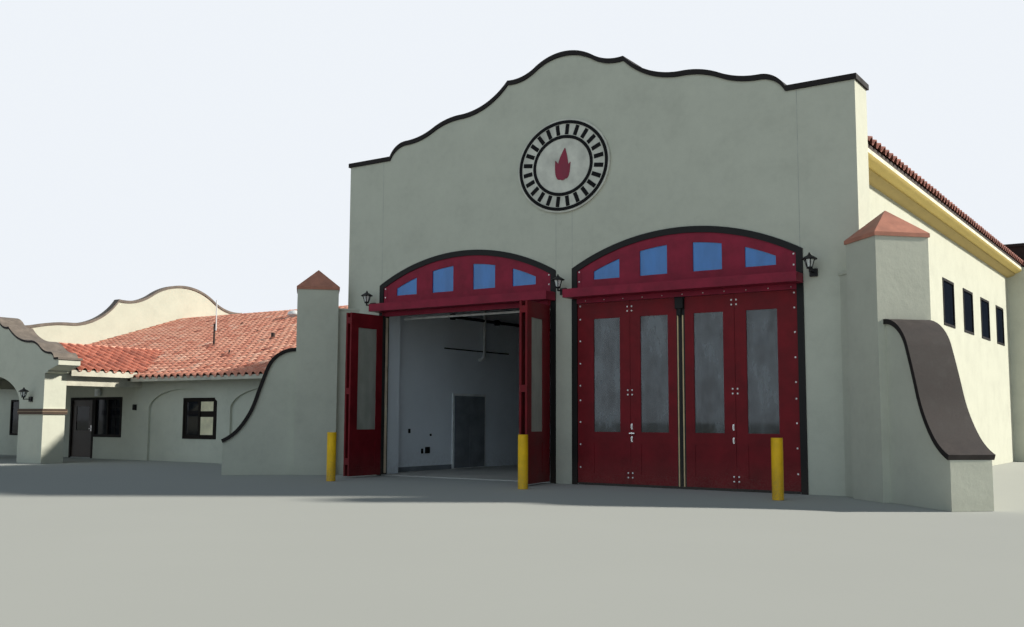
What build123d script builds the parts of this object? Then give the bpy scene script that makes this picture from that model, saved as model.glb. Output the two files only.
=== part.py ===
from build123d import *
import math
import os

# Fire station building in the Mission style, in millimetres.
# Two engine bays stand behind a tall front wall with a curved parapet, and a
# low tiled wing with an arched entry portico runs off to the left.
# While modelling, X runs along the bay front from its middle, Y runs into the
# building from the face of the front wall, and Z is up from the ground.
# The finished part has its origin under the middle of the pier between the
# two bay doorways, so each node is shifted by half the wall as it is written.

# Tall front wall: widths from the middle pier out
middle_pier = 450
bay_width = 5530
end_pier = 1155
front_thick = 850
front_flat_z = 8410
coping_thick = 115
coping_lip = 45

# Bay doorways
bay_spring_z = 5030
bay_crown_rise = 715
trim_width = 140
trim_proud = 30
trim_depth = 220
transom_z0 = 4500
transom_thick = 60
transom_window_z0 = 4730
transom_window_margin = 215
header_z0 = 4300
header_height = 200
header_reach = 450

# Folding doors
door_gap = 8
fit_gap = 0.3
leaf_thick = 50
leaf_z0 = 45
leaf_z1 = 4180
leaf_pane_width = 680
leaf_pane_z0 = 1210
leaf_pane_z1 = 3810
leaf_panel_z0 = 260
leaf_panel_z1 = 960
leaf_panel_depth = 12
pane_offset_inner = 650
pane_offset_outer = 1850
meeting_width = 200
meeting_split = 6
glass_thick = 12
stack_gap = 95
left_stack_angle = 92
right_stack_angle = 100
door_hinge_height = 160
door_hinge_z = (330, 2100, 3900)
pivot_radius = 18
pivot_inset = 35

# Sign on the front wall
sign_z = 7535
sign_half_width = 1275
sign_half_height = 1135
sign_border = 42
sign_thick = 60
sign_ring_width = 75
sign_ring_proud = 18
sign_inner_ratio = 0.65

# Engine bay behind the front wall
front_return = 550
bay_wall_thick = 300
rear_y = 21670
rear_return = 690
rear_wall_drop = 400
floor_top = 30
bay_slope = 0.303
roof_slab = 90
bay_eave_reach = 520
bay_eave_z = 7200
cornice_z0 = 6860
cornice_step_reach = 280
cornice_step_z = 7000
cornice_step_height = 40
fascia_z0 = 7110

# Side windows, one row high in the right wall
side_window_first_y = 11060
side_window_spacing = 2865
side_window_count = 4
side_window_width = 1500
side_window_height = 1360
side_window_z0 = 4210
window_frame_width = 70
window_frame_depth = 90
window_frame_proud = 20

# Corner towers, link walls and buttresses, turned 45 degrees
tower_out = 644
tower_forward = 505
tower_side = 1089
tower_wall_z = 4935
cap_edge = 75
cap_side = 1141
cap_apex_z = 5533
cap_tip = 5
diagonal_thick = 780
link_z = 4400
link_ledge = 50
buttress_z = 3270
buttress_sweep = ((680, 470), (965, 1300), (1380, 2080), (1835, 2425))
buttress_coping = 95
buttress_coping_width = 870

# Living quarters wing, with places given leftwards from the bay's left wall
wing_front_y = 2200
wing_wall_thick = 250
wing_length = 23540
wing_gable_thick = 300
wing_ridge_y = 12700
wing_eave_y = 1600
wing_eave_z = 2750
wing_slope = 0.315
wing_slab = 70
wing_fascia_z0 = 2720
wing_fascia_height = 140
wing_fascia_thick = 40
wing_gable_over = 200
recess_half = 1850
recess_depth = 90
recess_rise = 700
recess_crown_z = 2470
recess_first = 5890
recess_spacing = 4200
wing_window_at = 9340
left_window_at = 19690
wing_window_width = 1700
wing_window_z0 = 780
wing_window_height = 1380
rear_window_first = 5100
rear_window_spacing = 4000
rear_window_count = 5
gable_window_spread = 6300

# Entry door and the window beside it
sidelight_at = 13440
sidelight_width = 1650
sidelight_z0 = 780
entry_width = 1450
entry_head_z = 2220
entry_frame_width = 95
entry_frame_depth = 160
entry_frame_proud = 20
entry_clear = 6
entry_leaf_thick = 45
entry_leaf_set_back = 30
entry_pane_margin = 230
entry_pane_z0 = 1010
entry_pane_z1 = 1890
entry_hinge_height = 110
entry_hinge_z = (250, 1060, 1870)

# Entry portico
portico_at = 15640
portico_front_y = -1500
portico_thick = 780
portico_pier_width = 1380
portico_arch_half = 1900
portico_spring_z = 1900
portico_arch_rise = 1000
portico_corbel_z0 = 3000
portico_corbel_z1 = 3165
portico_corbel_reach = 720
portico_cornice_reach = 170
portico_cornice_height = 55
portico_cornice_drop = 40
portico_eave_reach = 220
portico_eave_z = 2935
portico_fascia_z0 = 2845
portico_fascia_height = 200
portico_slope = 0.305
portico_beam_z0 = 2530
portico_beam_height = 400
portico_beam_thick = 230
portico_ceiling_thick = 30
band_z0 = 1580
band_height = 180
band_proud = 50

# Wall lanterns
lantern_side_out = 225
lantern_side_in = 255
lantern_reach = 280
lantern_box = 160
lantern_box_depth = 60
lantern_box_z = 4420
lantern_arm = 30
lantern_glass_z = 4590
lantern_glass_height = 160
lantern_sides = 6
lantern_glass_low = 55
lantern_glass_high = 105
lantern_cap_height = 85
lantern_cap_low = 150
lantern_cap_high = 25
lantern_foot_height = 20
portico_lantern_drop = 2430

# Steel bollards that guard the door jambs
bollard_points = ((-4980, -2540), (240, -2110), (5750, -1750))
bollard_radius = 110
bollard_height = 1160

# Mast, flue and vent pipes on the wing roof: left from the bay, back from the
# eave, radius and height above the tiles
roof_pipes = (
    (12940, 4200, 38, 980),
    (10510, 4960, 75, 330),
    (10290, 2690, 30, 250),
    (12920, 6380, 30, 200),
    (16100, 8360, 30, 200),
)
antenna_radius = 22
antenna_offset = 90
antenna_z0 = 700
antenna_length = 1180

# Stations of each curved parapet from its end to its middle: how far from the
# middle, and how far above the flat end
front_crest = ((5470, 0), (4900, 350), (3100, 770), (1630, 1405), (0, 1835))
portico_crest = ((3790, 0), (3560, 190), (2400, 600), (1080, 1120), (0, 1520))
gable_crest = ((9940, 0), (9000, 580), (6200, 900), (3720, 2200), (0, 3230))
crown_waist_run = 0.5
crown_waist_fall = 0.565
portico_flat_z = 3335
portico_coping_thick = 70
gable_flat_z = 4705

# Places that follow from the sizes above
pier_half = middle_pier / 2
bay_half = bay_width / 2
bay_x = pier_half + bay_half
door_half = bay_half - trim_width
front_half = pier_half + bay_width + end_pier
bay_side_x = front_half - front_return
bay_inner_x = bay_side_x - bay_wall_thick
bay_eave_x = bay_side_x + bay_eave_reach
rear_half = bay_side_x + rear_return
rear_face_y = rear_y + front_thick
tower_x = front_half + tower_out
wing_left_x = -bay_side_x - wing_length
wing_rear_y = 2 * wing_ridge_y - wing_front_y
sidelight_x1 = -bay_side_x - sidelight_at
entry_x1 = sidelight_x1 - sidelight_width
entry_x0 = entry_x1 - entry_width
portico_x = -bay_side_x - portico_at
portico_end = portico_arch_half + portico_pier_width
portico_gable_half = portico_end + portico_corbel_reach
portico_eave_half = portico_end + portico_eave_reach
portico_back_y = portico_front_y + portico_thick
beyond = 2 * (front_half + wing_length)


def block(x0, x1, y0, y1, z0, z1):
    """A box given by its two ends along each axis."""
    size = Box(abs(x1 - x0), abs(y1 - y0), abs(z1 - z0))
    return Pos((x0 + x1) / 2, (y0 + y1) / 2, (z0 + z1) / 2) * size


def outline(points):
    """A flat face through the given corners."""
    return make_face(Polyline(*points, close=True))


def along_y(face, y0, y1):
    """Push a face drawn in X and Z from y0 to y1."""
    return extrude(Plane.XZ.offset(-y1) * face, y1 - y0)


def along_x(face, x0, x1):
    """Push a face drawn in Y and Z from x0 to x1."""
    return extrude(Plane.YZ.offset(x0) * face, x1 - x0)


def turned(shape, x, y, angle):
    """Turn a shape about the vertical and set it at a point in plan."""
    return Pos(x, y, 0) * Rot(0, 0, angle) * shape


def mirrored(shape):
    """The same shape on the other side of the building's middle."""
    return mirror(shape, Plane.YZ)


def post(x, y, radius, z0, z1):
    """An upright round bar."""
    return Pos(x, y, (z0 + z1) / 2) * Cylinder(radius, z1 - z0)


def arc_chain(points, direction):
    """Arcs from point to point, each leaving along the end of the one before."""
    arcs = []
    for start, end in zip(points, points[1:]):
        arc = TangentArc(start, end, tangent=direction)
        arcs.append(arc)
        direction = arc % 1
    return arcs


def half_crest(stations, side, flat_z):
    """Edges of one half of a curved parapet, from its middle to its end.

    The round crown dips to a cusp, a sweep falls from there to a level shoulder,
    and the line rolls down over a low hump to the flat end.
    """
    step, hip, shoulder, cusp, crown = [(side * x, flat_z + z) for x, z in stations]
    waist = (crown_waist_run * cusp[0], crown[1] - crown_waist_fall * (crown[1] - cusp[1]))
    middle = ((hip[0] + shoulder[0]) / 2, (hip[1] + shoulder[1]) / 2)
    top = arc_chain([crown, waist, cusp], (side, 0))
    sweep = arc_chain([shoulder, cusp], (-side, 0))
    return top + sweep + arc_chain([shoulder, middle, hip, step], (side, 0))


def crest_edges(stations, half, flat_z):
    """All edges of a curved parapet's top, out to its two ends."""
    edges = []
    for side in (1, -1):
        edges += half_crest(stations, side, flat_z)
        edges.append(Line((side * half, flat_z), (side * stations[0][0], flat_z)))
    return edges


def crest_face(stations, half, flat_z, lower_corners):
    """The face of a wall under a curved parapet, closed by its lower corners."""
    rest = Polyline((half, flat_z), *lower_corners, (-half, flat_z))
    return make_face(crest_edges(stations, half, flat_z) + [rest])


def coping_face(stations, half, flat_z, thick):
    """The face of the coping that follows a curved parapet."""
    far = half + coping_lip
    edges = crest_edges(stations, far, flat_z)
    edges += crest_edges(stations, far, flat_z + thick)
    for x in (-far, far):
        edges.append(Line((x, flat_z), (x, flat_z + thick)))
    return make_face(edges)


def arch_face(inset, z0):
    """A bay doorway's face up to its segmental arch, drawn in from the trim."""
    radius = (bay_half * bay_half + bay_crown_rise ** 2) / (2 * bay_crown_rise)
    centre_z = bay_spring_z + bay_crown_rise - radius
    inner = radius - inset
    x = bay_half - inset
    side_z = centre_z + math.sqrt(inner * inner - x * x)
    top = ThreePointArc((-x, side_z), (0, centre_z + inner), (x, side_z))
    rest = Polyline((x, side_z), (x, z0), (-x, z0), (-x, side_z))
    return make_face([top, rest])


def pane_spots():
    """The middles of the four panes of one bay along X."""
    return (-pane_offset_outer, -pane_offset_inner, pane_offset_inner, pane_offset_outer)


def transom_windows():
    """The four openings of a transom, which follow the arch above them."""
    limit = along_y(arch_face(trim_width + transom_window_margin, transom_window_z0), -trim_depth, trim_depth)
    half = leaf_pane_width / 2
    top = bay_spring_z + bay_crown_rise
    windows = []
    for x in pane_spots():
        windows.append(block(x - half, x + half, -trim_depth, trim_depth, transom_window_z0, top) & limit)
    return windows


def transom_panel():
    """The red panel that fills the arch over the doors of one bay."""
    panel = along_y(arch_face(trim_width, transom_z0), 0, transom_thick)
    for window in transom_windows():
        panel -= window
    return panel


def transom_panes():
    """Glass in the four openings of one transom."""
    y0 = (transom_thick - glass_thick) / 2
    top = bay_spring_z + bay_crown_rise
    sheet = block(-bay_half, bay_half, y0, y0 + glass_thick, transom_window_z0, top)
    return [sheet & window for window in transom_windows()]


def bay_trim():
    """The dark frame round one bay doorway, jambs and arch."""
    frame = arch_face(0, 0) - arch_face(trim_width, -trim_width)
    return along_y(frame, -trim_proud, trim_depth)


def door_header():
    """The box that stands out over the doors, and the rail it hangs from."""
    box = block(-bay_half, bay_half, -header_reach, -trim_proud, header_z0, header_z0 + header_height)
    rail = block(-door_half, door_half, -trim_proud, leaf_thick, leaf_z1 + door_gap, transom_z0)
    return box + rail


def leaf_bounds(index):
    """Where leaf 0 to 3 of a closed door set begins and ends along X."""
    end = door_half - door_gap
    fold = (pane_offset_inner + pane_offset_outer) / 2
    near = fold - door_gap / 2
    far = fold + door_gap / 2
    middle = meeting_width / 2
    return ((-end, -far), (-near, -middle), (middle, near), (far, end))[index]


def pane_hole(index, z0, z1, y0, y1):
    """The block that a leaf's pane, or its sunk panel, fills."""
    x = pane_spots()[index]
    half = leaf_pane_width / 2
    return block(x - half, x + half, y0, y1, z0, z1)


def leaf_plate(index):
    """One door leaf as it stands when closed: a glazed opening over a sunk panel."""
    x0, x1 = leaf_bounds(index)
    leaf = block(x0, x1, 0, leaf_thick, leaf_z0, leaf_z1)
    leaf -= pane_hole(index, leaf_pane_z0, leaf_pane_z1, -leaf_thick, 2 * leaf_thick)
    leaf -= pane_hole(index, leaf_panel_z0, leaf_panel_z1, -leaf_thick, leaf_panel_depth)
    return leaf


def hinge_pads(x0, x1, y0, y1):
    """Three hinge blocks, one above another, in a gap beside a leaf."""
    pads = [block(x0, x1, y0, y1, z, z + door_hinge_height) for z in door_hinge_z]
    return pads[0] + pads[1] + pads[2]


def jamb_leaf(is_open):
    """The leaf on the left jamb, with its hinges and the pivot at its head.

    The pivot reaches up to the header, and the hinges on the folding edge reach
    across to the next leaf, side by side when closed and face to face when open.
    """
    x0, x1 = leaf_bounds(0)
    head = header_z0 if is_open else leaf_z1 + door_gap
    leaf = leaf_plate(0) + post(x0 + pivot_inset, leaf_thick / 2, pivot_radius, leaf_z1, head - fit_gap)
    if is_open:
        y0 = leaf_thick
        y1 = leaf_thick + stack_gap - fit_gap
        return leaf + hinge_pads(x1 - stack_gap, x1, y0, y1)
    leaf += hinge_pads(x0 - door_gap + fit_gap, x0, 0, leaf_thick)
    return leaf + hinge_pads(x1, x1 + door_gap - fit_gap, 0, leaf_thick)


def meeting_strip():
    """The rubber strip on the free edge of the second leaf from the left."""
    edge = -meeting_width / 2
    return block(edge, -meeting_split / 2, 0, leaf_thick, leaf_z0, leaf_z1)


def door_pane(index):
    """The glass of one closed leaf."""
    y0 = (leaf_thick - glass_thick) / 2
    return pane_hole(index, leaf_pane_z0, leaf_pane_z1, y0, y0 + glass_thick)


def swung(shape, angle):
    """Swing pieces of the closed jamb leaf out about the left jamb."""
    hinge = leaf_bounds(0)[0]
    shape = Rot(0, 0, -angle) * Pos(-hinge, 0, 0) * shape
    return Pos(-door_half + door_gap, -trim_proud - door_gap, 0) * shape


def folded(shape, angle):
    """Swing pieces of the closed second leaf out, back against the first."""
    reach = leaf_bounds(0)[1] - leaf_bounds(0)[0]
    edge = leaf_bounds(1)[0]
    shape = Rot(0, 0, 180) * Pos(-edge, 0, 0) * shape
    shape = Pos(reach, 2 * leaf_thick + stack_gap, 0) * shape
    shape = Rot(0, 0, -angle) * shape
    return Pos(-door_half + door_gap, -trim_proud - door_gap, 0) * shape


def open_pair(angle):
    """Two leaves folded open on the left jamb: plates, strip and panes."""
    plates = [swung(jamb_leaf(True), angle), folded(leaf_plate(1), angle)]
    panes = [swung(door_pane(0), angle), folded(door_pane(1), angle)]
    return plates, folded(meeting_strip(), angle), panes


def closed_set():
    """Four closed leaves of one bay: plates, strips and panes."""
    plates = [jamb_leaf(False), leaf_plate(1), leaf_plate(2), mirrored(jamb_leaf(False))]
    strips = [meeting_strip(), mirrored(meeting_strip())]
    panes = [door_pane(index) for index in range(4)]
    return plates, strips, panes


def open_set():
    """Four leaves of one bay folded open in pairs: plates, strips and panes."""
    plates, strip, panes = open_pair(left_stack_angle)
    other_plates, other_strip, other_panes = open_pair(right_stack_angle)
    plates += [mirrored(shape) for shape in other_plates]
    panes += [mirrored(shape) for shape in other_panes]
    return plates, [strip, mirrored(other_strip)], panes


def placed(shapes, x):
    """Pieces of one bay, moved to that bay along X."""
    return [Pos(x, 0, 0) * shape for shape in shapes]


def both_bays(shapes):
    """Copies of one bay's pieces for the left and the right bay."""
    return placed(shapes, -bay_x) + placed(shapes, bay_x)


def tall_wall(half, flat_z):
    """The piers, parapet and coping of a tall end wall over its two arches."""
    outer = bay_x + bay_half
    stretches = [(-half, -outer), (-pier_half, pier_half), (outer, half)]
    piers = [block(x0, x1, 0, front_thick, 0, bay_spring_z) for x0, x1 in stretches]
    corners = [(half, bay_spring_z), (-half, bay_spring_z)]
    parapet = along_y(crest_face(front_crest, half, flat_z, corners), 0, front_thick)
    for x in (-bay_x, bay_x):
        parapet -= Pos(x, 0, 0) * along_y(arch_face(0, 0), -front_thick, 2 * front_thick)
    cap = coping_face(front_crest, half, flat_z, coping_thick)
    coping = along_y(cap, -coping_lip, front_thick + coping_lip)
    return piers, parapet, coping


def oval(ratio, inset, y0, y1):
    """An upright oval plate of the sign's shape, drawn in by an inset."""
    face = Ellipse(sign_half_width * ratio - inset, sign_half_height * ratio - inset)
    return along_y(face, y0, y1)


def sign():
    """The oval sign with its two raised rings."""
    plate = oval(1, 0, -sign_thick, 0)
    for ratio, edge in ((1, sign_border), (sign_inner_ratio, 0)):
        ring = oval(ratio, edge, -sign_thick - sign_ring_proud, -sign_thick)
        plate += ring - oval(ratio, edge + sign_ring_width, -sign_thick - 2 * sign_ring_proud, 0)
    return Pos(0, 0, sign_z) * plate


def turned_to_rear(shapes):
    """Turn front pieces round to the rear wall."""
    return [Pos(0, rear_face_y, 0) * Rot(0, 0, 180) * shape for shape in shapes]


def front_nodes():
    """The tall front wall with its sign, doors and transoms."""
    piers, parapet, coping = tall_wall(front_half, front_flat_z)
    opened, open_strips, open_panes = open_set()
    closed, closed_strips, closed_panes = closed_set()
    rear_strips = turned_to_rear(both_bays(closed_strips))
    return {
        "front_wall_piers": piers,
        "front_parapet": [parapet],
        "front_coping": [coping],
        "front_sign": [sign()],
        "front_transom_panels": both_bays([transom_panel()]),
        "left_bay_doors": placed(opened, -bay_x),
        "right_bay_doors": placed(closed, bay_x),
        "door_meeting_strips": placed(open_strips, -bay_x) + placed(closed_strips, bay_x) + rear_strips,
        "front_bay_glass": placed(open_panes, -bay_x) + placed(closed_panes, bay_x) + both_bays(transom_panes()),
    }


def rear_nodes():
    """The rear wall, which repeats the front with all its doors closed."""
    piers, parapet, coping = tall_wall(rear_half, front_flat_z - rear_wall_drop)
    plates, _, panes = closed_set()
    trims = both_bays([bay_trim()])
    headers = both_bays([door_header()])
    return {
        "rear_wall_piers": turned_to_rear(piers),
        "rear_parapet": turned_to_rear([parapet]),
        "rear_coping": turned_to_rear([coping]),
        "rear_bay_doors": turned_to_rear(both_bays(plates + [transom_panel()])),
        "rear_bay_glass": turned_to_rear(both_bays(panes + transom_panes())),
        "bay_trims": trims + turned_to_rear(trims),
        "door_headers": headers + turned_to_rear(headers),
    }


def bay_soffit_z(x):
    """Underside of the bay roof at a distance x from the middle."""
    return bay_eave_z + bay_slope * (bay_eave_x - x)


def bay_side_wall():
    """The right side wall of the engine bays, up to the roof slab."""
    corners = [
        (bay_inner_x, 0),
        (bay_side_x, 0),
        (bay_side_x, bay_soffit_z(bay_side_x)),
        (bay_inner_x, bay_soffit_z(bay_inner_x)),
    ]
    return along_y(outline(corners), front_thick, rear_y)


def side_window_spots():
    """The middle of each window in the right side wall along Y."""
    return [side_window_first_y + side_window_spacing * index for index in range(side_window_count)]


def side_window_hole(y):
    """The opening of one side window."""
    half = side_window_width / 2
    z1 = side_window_z0 + side_window_height
    return block(bay_inner_x - bay_wall_thick, front_half, y - half, y + half, side_window_z0, z1)


def cornice():
    """The stucco crown moulding under the right eave, two coves and a fascia."""
    step_x = bay_side_x + cornice_step_reach
    step_low = cornice_step_z - cornice_step_height
    low = TangentArc((bay_side_x, cornice_z0), (step_x, step_low), tangent=(1, 0))
    high = TangentArc((step_x, cornice_step_z), (bay_eave_x, fascia_z0), tangent=(1, 0))
    step = Line((step_x, step_low), (step_x, cornice_step_z))
    rest = Polyline(
        (bay_eave_x, fascia_z0),
        (bay_eave_x, bay_eave_z),
        (bay_side_x, bay_soffit_z(bay_side_x)),
        (bay_side_x, cornice_z0),
    )
    return along_y(make_face([low, step, high, rest]), front_thick, rear_y)


def bay_roof():
    """The two roof slopes between the tall end walls."""
    corners = [(-bay_eave_x, bay_eave_z), (0, bay_soffit_z(0)), (bay_eave_x, bay_eave_z)]
    corners += [(x, z + roof_slab) for x, z in reversed(corners)]
    return along_y(outline(corners), front_thick, rear_y)


def bay_floor():
    """The floor slab of the bays, out through the doorways."""
    slab = block(-bay_inner_x, bay_inner_x, front_thick, rear_y, 0, floor_top)
    for x in (-bay_x, bay_x):
        slab += block(x - door_half, x + door_half, 0, front_thick, 0, floor_top)
        slab += block(x - door_half, x + door_half, rear_y, rear_face_y, 0, floor_top)
    return slab


def bay_nodes():
    """The side walls, cornices, roof and floor of the engine bays."""
    wall = bay_side_wall()
    right = wall
    for y in side_window_spots():
        right -= side_window_hole(y)
    return {
        "bay_wall_right": [right],
        "bay_wall_left": [mirrored(wall)],
        "bay_cornices": [cornice(), mirrored(cornice())],
        "bay_roof": [bay_roof()],
        "bay_floor": [bay_floor()],
    }


def tower():
    """One square tower shaft, standing at the origin in plan."""
    half = tower_side / 2
    return block(-half, half, -half, half, 0, tower_wall_z)


def tower_cap():
    """The metal cap: a straight edge with a low pyramid on it."""
    half = cap_side / 2
    edge_z = tower_wall_z + cap_edge
    edge = block(-half, half, -half, half, tower_wall_z, edge_z)
    base = Plane.XY.offset(edge_z) * Rectangle(cap_side, cap_side)
    height = cap_apex_z - edge_z
    return edge + extrude(base, height, taper=math.degrees(math.atan2(half - cap_tip, height)))


def buttress_curve():
    """The S curve of a buttress from the tower out to its low end."""
    start = tower_side / 2
    points = [(start + run, buttress_z - fall) for run, fall in ((0, 0),) + buttress_sweep]
    return arc_chain(points, (1, 0))


def buttress_wall():
    """The wall of a buttress, drawn along +X from the tower."""
    start = tower_side / 2
    end = start + buttress_sweep[-1][0]
    low_z = buttress_z - buttress_sweep[-1][1]
    rest = Polyline((end, low_z), (end, 0), (start, 0), (start, buttress_z))
    return along_y(make_face(buttress_curve() + [rest]), -diagonal_thick / 2, diagonal_thick / 2)


def buttress_cap():
    """The coping that rides on the buttress curve, equally thick all along."""
    low = buttress_curve()
    points = [low[0] @ 0] + [arc @ 1 for arc in low]
    headings = [low[0] % 0] + [arc % 1 for arc in low]
    lifted = []
    for point, heading in zip(points, headings):
        lifted.append(point + Vector(-heading.Y, heading.X) * buttress_coping)
    ends = [Line(points[0], lifted[0]), Line(points[-1], lifted[-1])]
    face = make_face(low + arc_chain(lifted, (1, 0)) + ends)
    return along_y(face, -buttress_coping_width / 2, buttress_coping_width / 2)


def link_wall():
    """The low wall between the right tower and the corner of the front wall."""
    near = -tower_side / 2
    far = near - 2 * tower_side
    half = diagonal_thick / 2
    wall = block(far, near, -half, half, 0, link_z)
    ledge = half + link_ledge / 2
    wall += block(far, near, -ledge, ledge, link_z, link_z + link_ledge)
    wall = turned(wall, tower_x, -tower_forward, -45)
    wall -= block(-front_half, front_half, 0, front_thick, -beyond, beyond)
    wall -= block(0, tower_x, front_thick, beyond, -beyond, beyond)
    return wall.solids().sort_by(Axis.X)[-1]


def corner_nodes():
    """Both corner towers with their caps, link walls and buttresses."""
    makers = {
        "corner_towers": tower,
        "tower_caps": tower_cap,
        "buttress_walls": buttress_wall,
        "buttress_copings": buttress_cap,
    }
    nodes = {}
    for name, make in makers.items():
        shape = turned(make(), tower_x, -tower_forward, -45)
        nodes[name] = [shape, mirrored(shape)]
    nodes["link_walls"] = [link_wall(), mirrored(link_wall())]
    return nodes


def wing_soffit_z(y):
    """Underside of the wing's front roof slope at a distance y."""
    return wing_eave_z + wing_slope * (y - wing_eave_y)


def to_rear(shape):
    """Mirror a shape from the wing's front side to its rear side."""
    return mirror(shape, Plane.XZ.offset(-wing_ridge_y))


def recess(x):
    """The shallow blind arch in the wing's front wall."""
    spring = recess_crown_z - recess_rise
    top = EllipticalCenterArc((x, spring), recess_half, recess_rise, arc_size=180)
    foot = -recess_depth
    rest = Polyline(
        (x - recess_half, spring), (x - recess_half, foot), (x + recess_half, foot), (x + recess_half, spring)
    )
    return along_y(make_face([top, rest]), wing_front_y - recess_depth, wing_front_y + recess_depth)


def recess_spots():
    """The middles of the two blind arches along X."""
    return [-bay_side_x - recess_first - recess_spacing * index for index in range(2)]


def wing_wall(x0, x1, z0):
    """A length of the wing's front wall, up to the roof slab."""
    y0 = wing_front_y
    y1 = wing_front_y + wing_wall_thick
    return along_x(outline([(y0, z0), (y1, z0), (y1, wing_soffit_z(y1)), (y0, wing_soffit_z(y0))]), x0, x1)


def wing_window_hole(x):
    """A window opening through the wing's front wall."""
    half = wing_window_width / 2
    y0 = wing_front_y - wing_wall_thick
    y1 = wing_front_y + 2 * wing_wall_thick
    return block(x - half, x + half, y0, y1, wing_window_z0, wing_window_z0 + wing_window_height)


def wing_window_spots():
    """The middle and the wall plane of each window in the wing's front wall."""
    recessed = (-bay_side_x - wing_window_at, wing_front_y + recess_depth)
    return (recessed, (-bay_side_x - left_window_at, wing_front_y))


def rear_window_spots():
    """The middles of the windows in the wing's rear wall along X."""
    first = -bay_side_x - rear_window_first
    return [first - rear_window_spacing * index for index in range(rear_window_count)]


def gable_window_spots():
    """The middles of the two windows in the gable wall along Y."""
    return (wing_ridge_y - gable_window_spread, wing_ridge_y + gable_window_spread)


def wing_walls():
    """The wing's front walls, beside and over the entry, and its rear walls."""
    y0 = wing_front_y - wing_wall_thick
    y1 = wing_front_y + 2 * wing_wall_thick
    right = wing_wall(entry_x1, -bay_side_x, 0)
    right -= block(entry_x1 - wing_wall_thick, sidelight_x1, y0, y1, sidelight_z0, beyond)
    for x in recess_spots():
        right -= recess(x)
    left = wing_wall(wing_left_x, entry_x0, 0)
    for x, _ in wing_window_spots():
        left -= wing_window_hole(x)
        right -= wing_window_hole(x)
    rear = to_rear(wing_wall(wing_left_x, -bay_side_x, 0))
    for x in rear_window_spots():
        rear -= to_rear(wing_window_hole(x))
    far = wing_rear_y - wing_wall_thick
    corners = [(rear_face_y, 0), (far, 0)]
    corners += [(y, wing_soffit_z(2 * wing_ridge_y - y)) for y in (far, rear_face_y)]
    return {
        "wing_front_walls": [left, right],
        "wing_wall_over_entry": [wing_wall(entry_x0, sidelight_x1, entry_head_z)],
        "wing_wall_rear": [rear],
        "wing_wall_end": [along_x(outline(corners), -bay_side_x - wing_wall_thick, -bay_side_x)],
    }


def gable_wall():
    """The wing's tall curved gable wall and its coping."""
    half = wing_ridge_y - wing_eave_y + wing_gable_over
    x0 = wing_left_x - wing_gable_thick
    corners = [(half, 0), (-half, 0)]
    face = Pos(wing_ridge_y, 0, 0) * crest_face(gable_crest, half, gable_flat_z, corners)
    wall = along_x(face, x0, wing_left_x)
    window_half = wing_window_width / 2
    z1 = wing_window_z0 + wing_window_height
    for y in gable_window_spots():
        hole = block(x0 - wing_gable_thick, beyond, y - window_half, y + window_half, wing_window_z0, z1)
        wall -= hole
    cap = Pos(wing_ridge_y, 0, 0) * coping_face(gable_crest, half, gable_flat_z, coping_thick)
    return wall, along_x(cap, x0 - coping_lip, wing_left_x + coping_lip)


def wing_roof():
    """The wing's two roof slopes, cut round the bay's rear wall."""
    corners = [
        (wing_eave_y, wing_eave_z),
        (wing_ridge_y, wing_soffit_z(wing_ridge_y)),
        (2 * wing_ridge_y - wing_eave_y, wing_eave_z),
    ]
    corners += [(y, z + wing_slab) for y, z in reversed(corners)]
    roof = along_x(outline(corners), wing_left_x, -bay_side_x)
    return roof - block(-rear_half, 0, rear_y, rear_face_y, 0, beyond)


def under_wing_roof():
    """All the space below the top of the wing's front slope."""
    far = wing_ridge_y + wing_slab
    top = wing_soffit_z(far) + wing_slab
    corners = [(wing_eave_y, 0), (far, 0), (far, top), (wing_eave_y, wing_eave_z + wing_slab)]
    return along_x(outline(corners), wing_left_x, -bay_side_x)


def over_wing_soffit():
    """All the space above the underside of the wing's front slope."""
    top = wing_soffit_z(wing_ridge_y)
    corners = [(wing_eave_y, wing_eave_z), (wing_ridge_y, top), (wing_eave_y, top)]
    return along_x(outline(corners), wing_left_x, -bay_side_x)


def portico_roof():
    """The portico's roof, cut where it dies into the wing's front slope."""
    half = portico_eave_half
    corners = [(-half, portico_eave_z), (0, portico_eave_z + portico_slope * half), (half, portico_eave_z)]
    corners += [(x, z + wing_slab) for x, z in reversed(corners)]
    slab = along_y(outline(corners), portico_back_y, wing_ridge_y)
    return Pos(portico_x, 0, 0) * slab - under_wing_roof()


def wing_fascias():
    """The pale boards under the wing's eaves and back along the portico."""
    z0 = wing_fascia_z0
    z1 = wing_fascia_z0 + wing_fascia_height
    y0 = wing_eave_y - wing_fascia_thick
    side_z1 = portico_fascia_z0 + portico_fascia_height
    boards = []
    for side, far in ((1, -bay_side_x), (-1, wing_left_x)):
        inner = portico_x + side * portico_eave_half
        outer = inner + side * wing_fascia_thick
        board = block(inner, outer, portico_back_y, wing_ridge_y, portico_fascia_z0, side_z1)
        boards.append(board - under_wing_roof() + block(inner, far, y0, wing_eave_y, z0, z1))
    boards.append(to_rear(block(wing_left_x, -bay_side_x, y0, wing_eave_y, z0, z1)))
    return boards


def wing_floor():
    """The wing's floor slab, out through the entry."""
    y0 = wing_front_y + wing_wall_thick
    y1 = wing_rear_y - wing_wall_thick
    slab = block(wing_left_x, -bay_side_x, y0, rear_y, 0, floor_top)
    slab += block(wing_left_x, -rear_half, rear_y, y1, 0, floor_top)
    slab += block(-rear_half, -bay_side_x - wing_wall_thick, rear_face_y, y1, 0, floor_top)
    w = entry_frame_width
    return slab + block(entry_x0 + w, entry_x1 - w, wing_front_y, y0, 0, floor_top)


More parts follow.
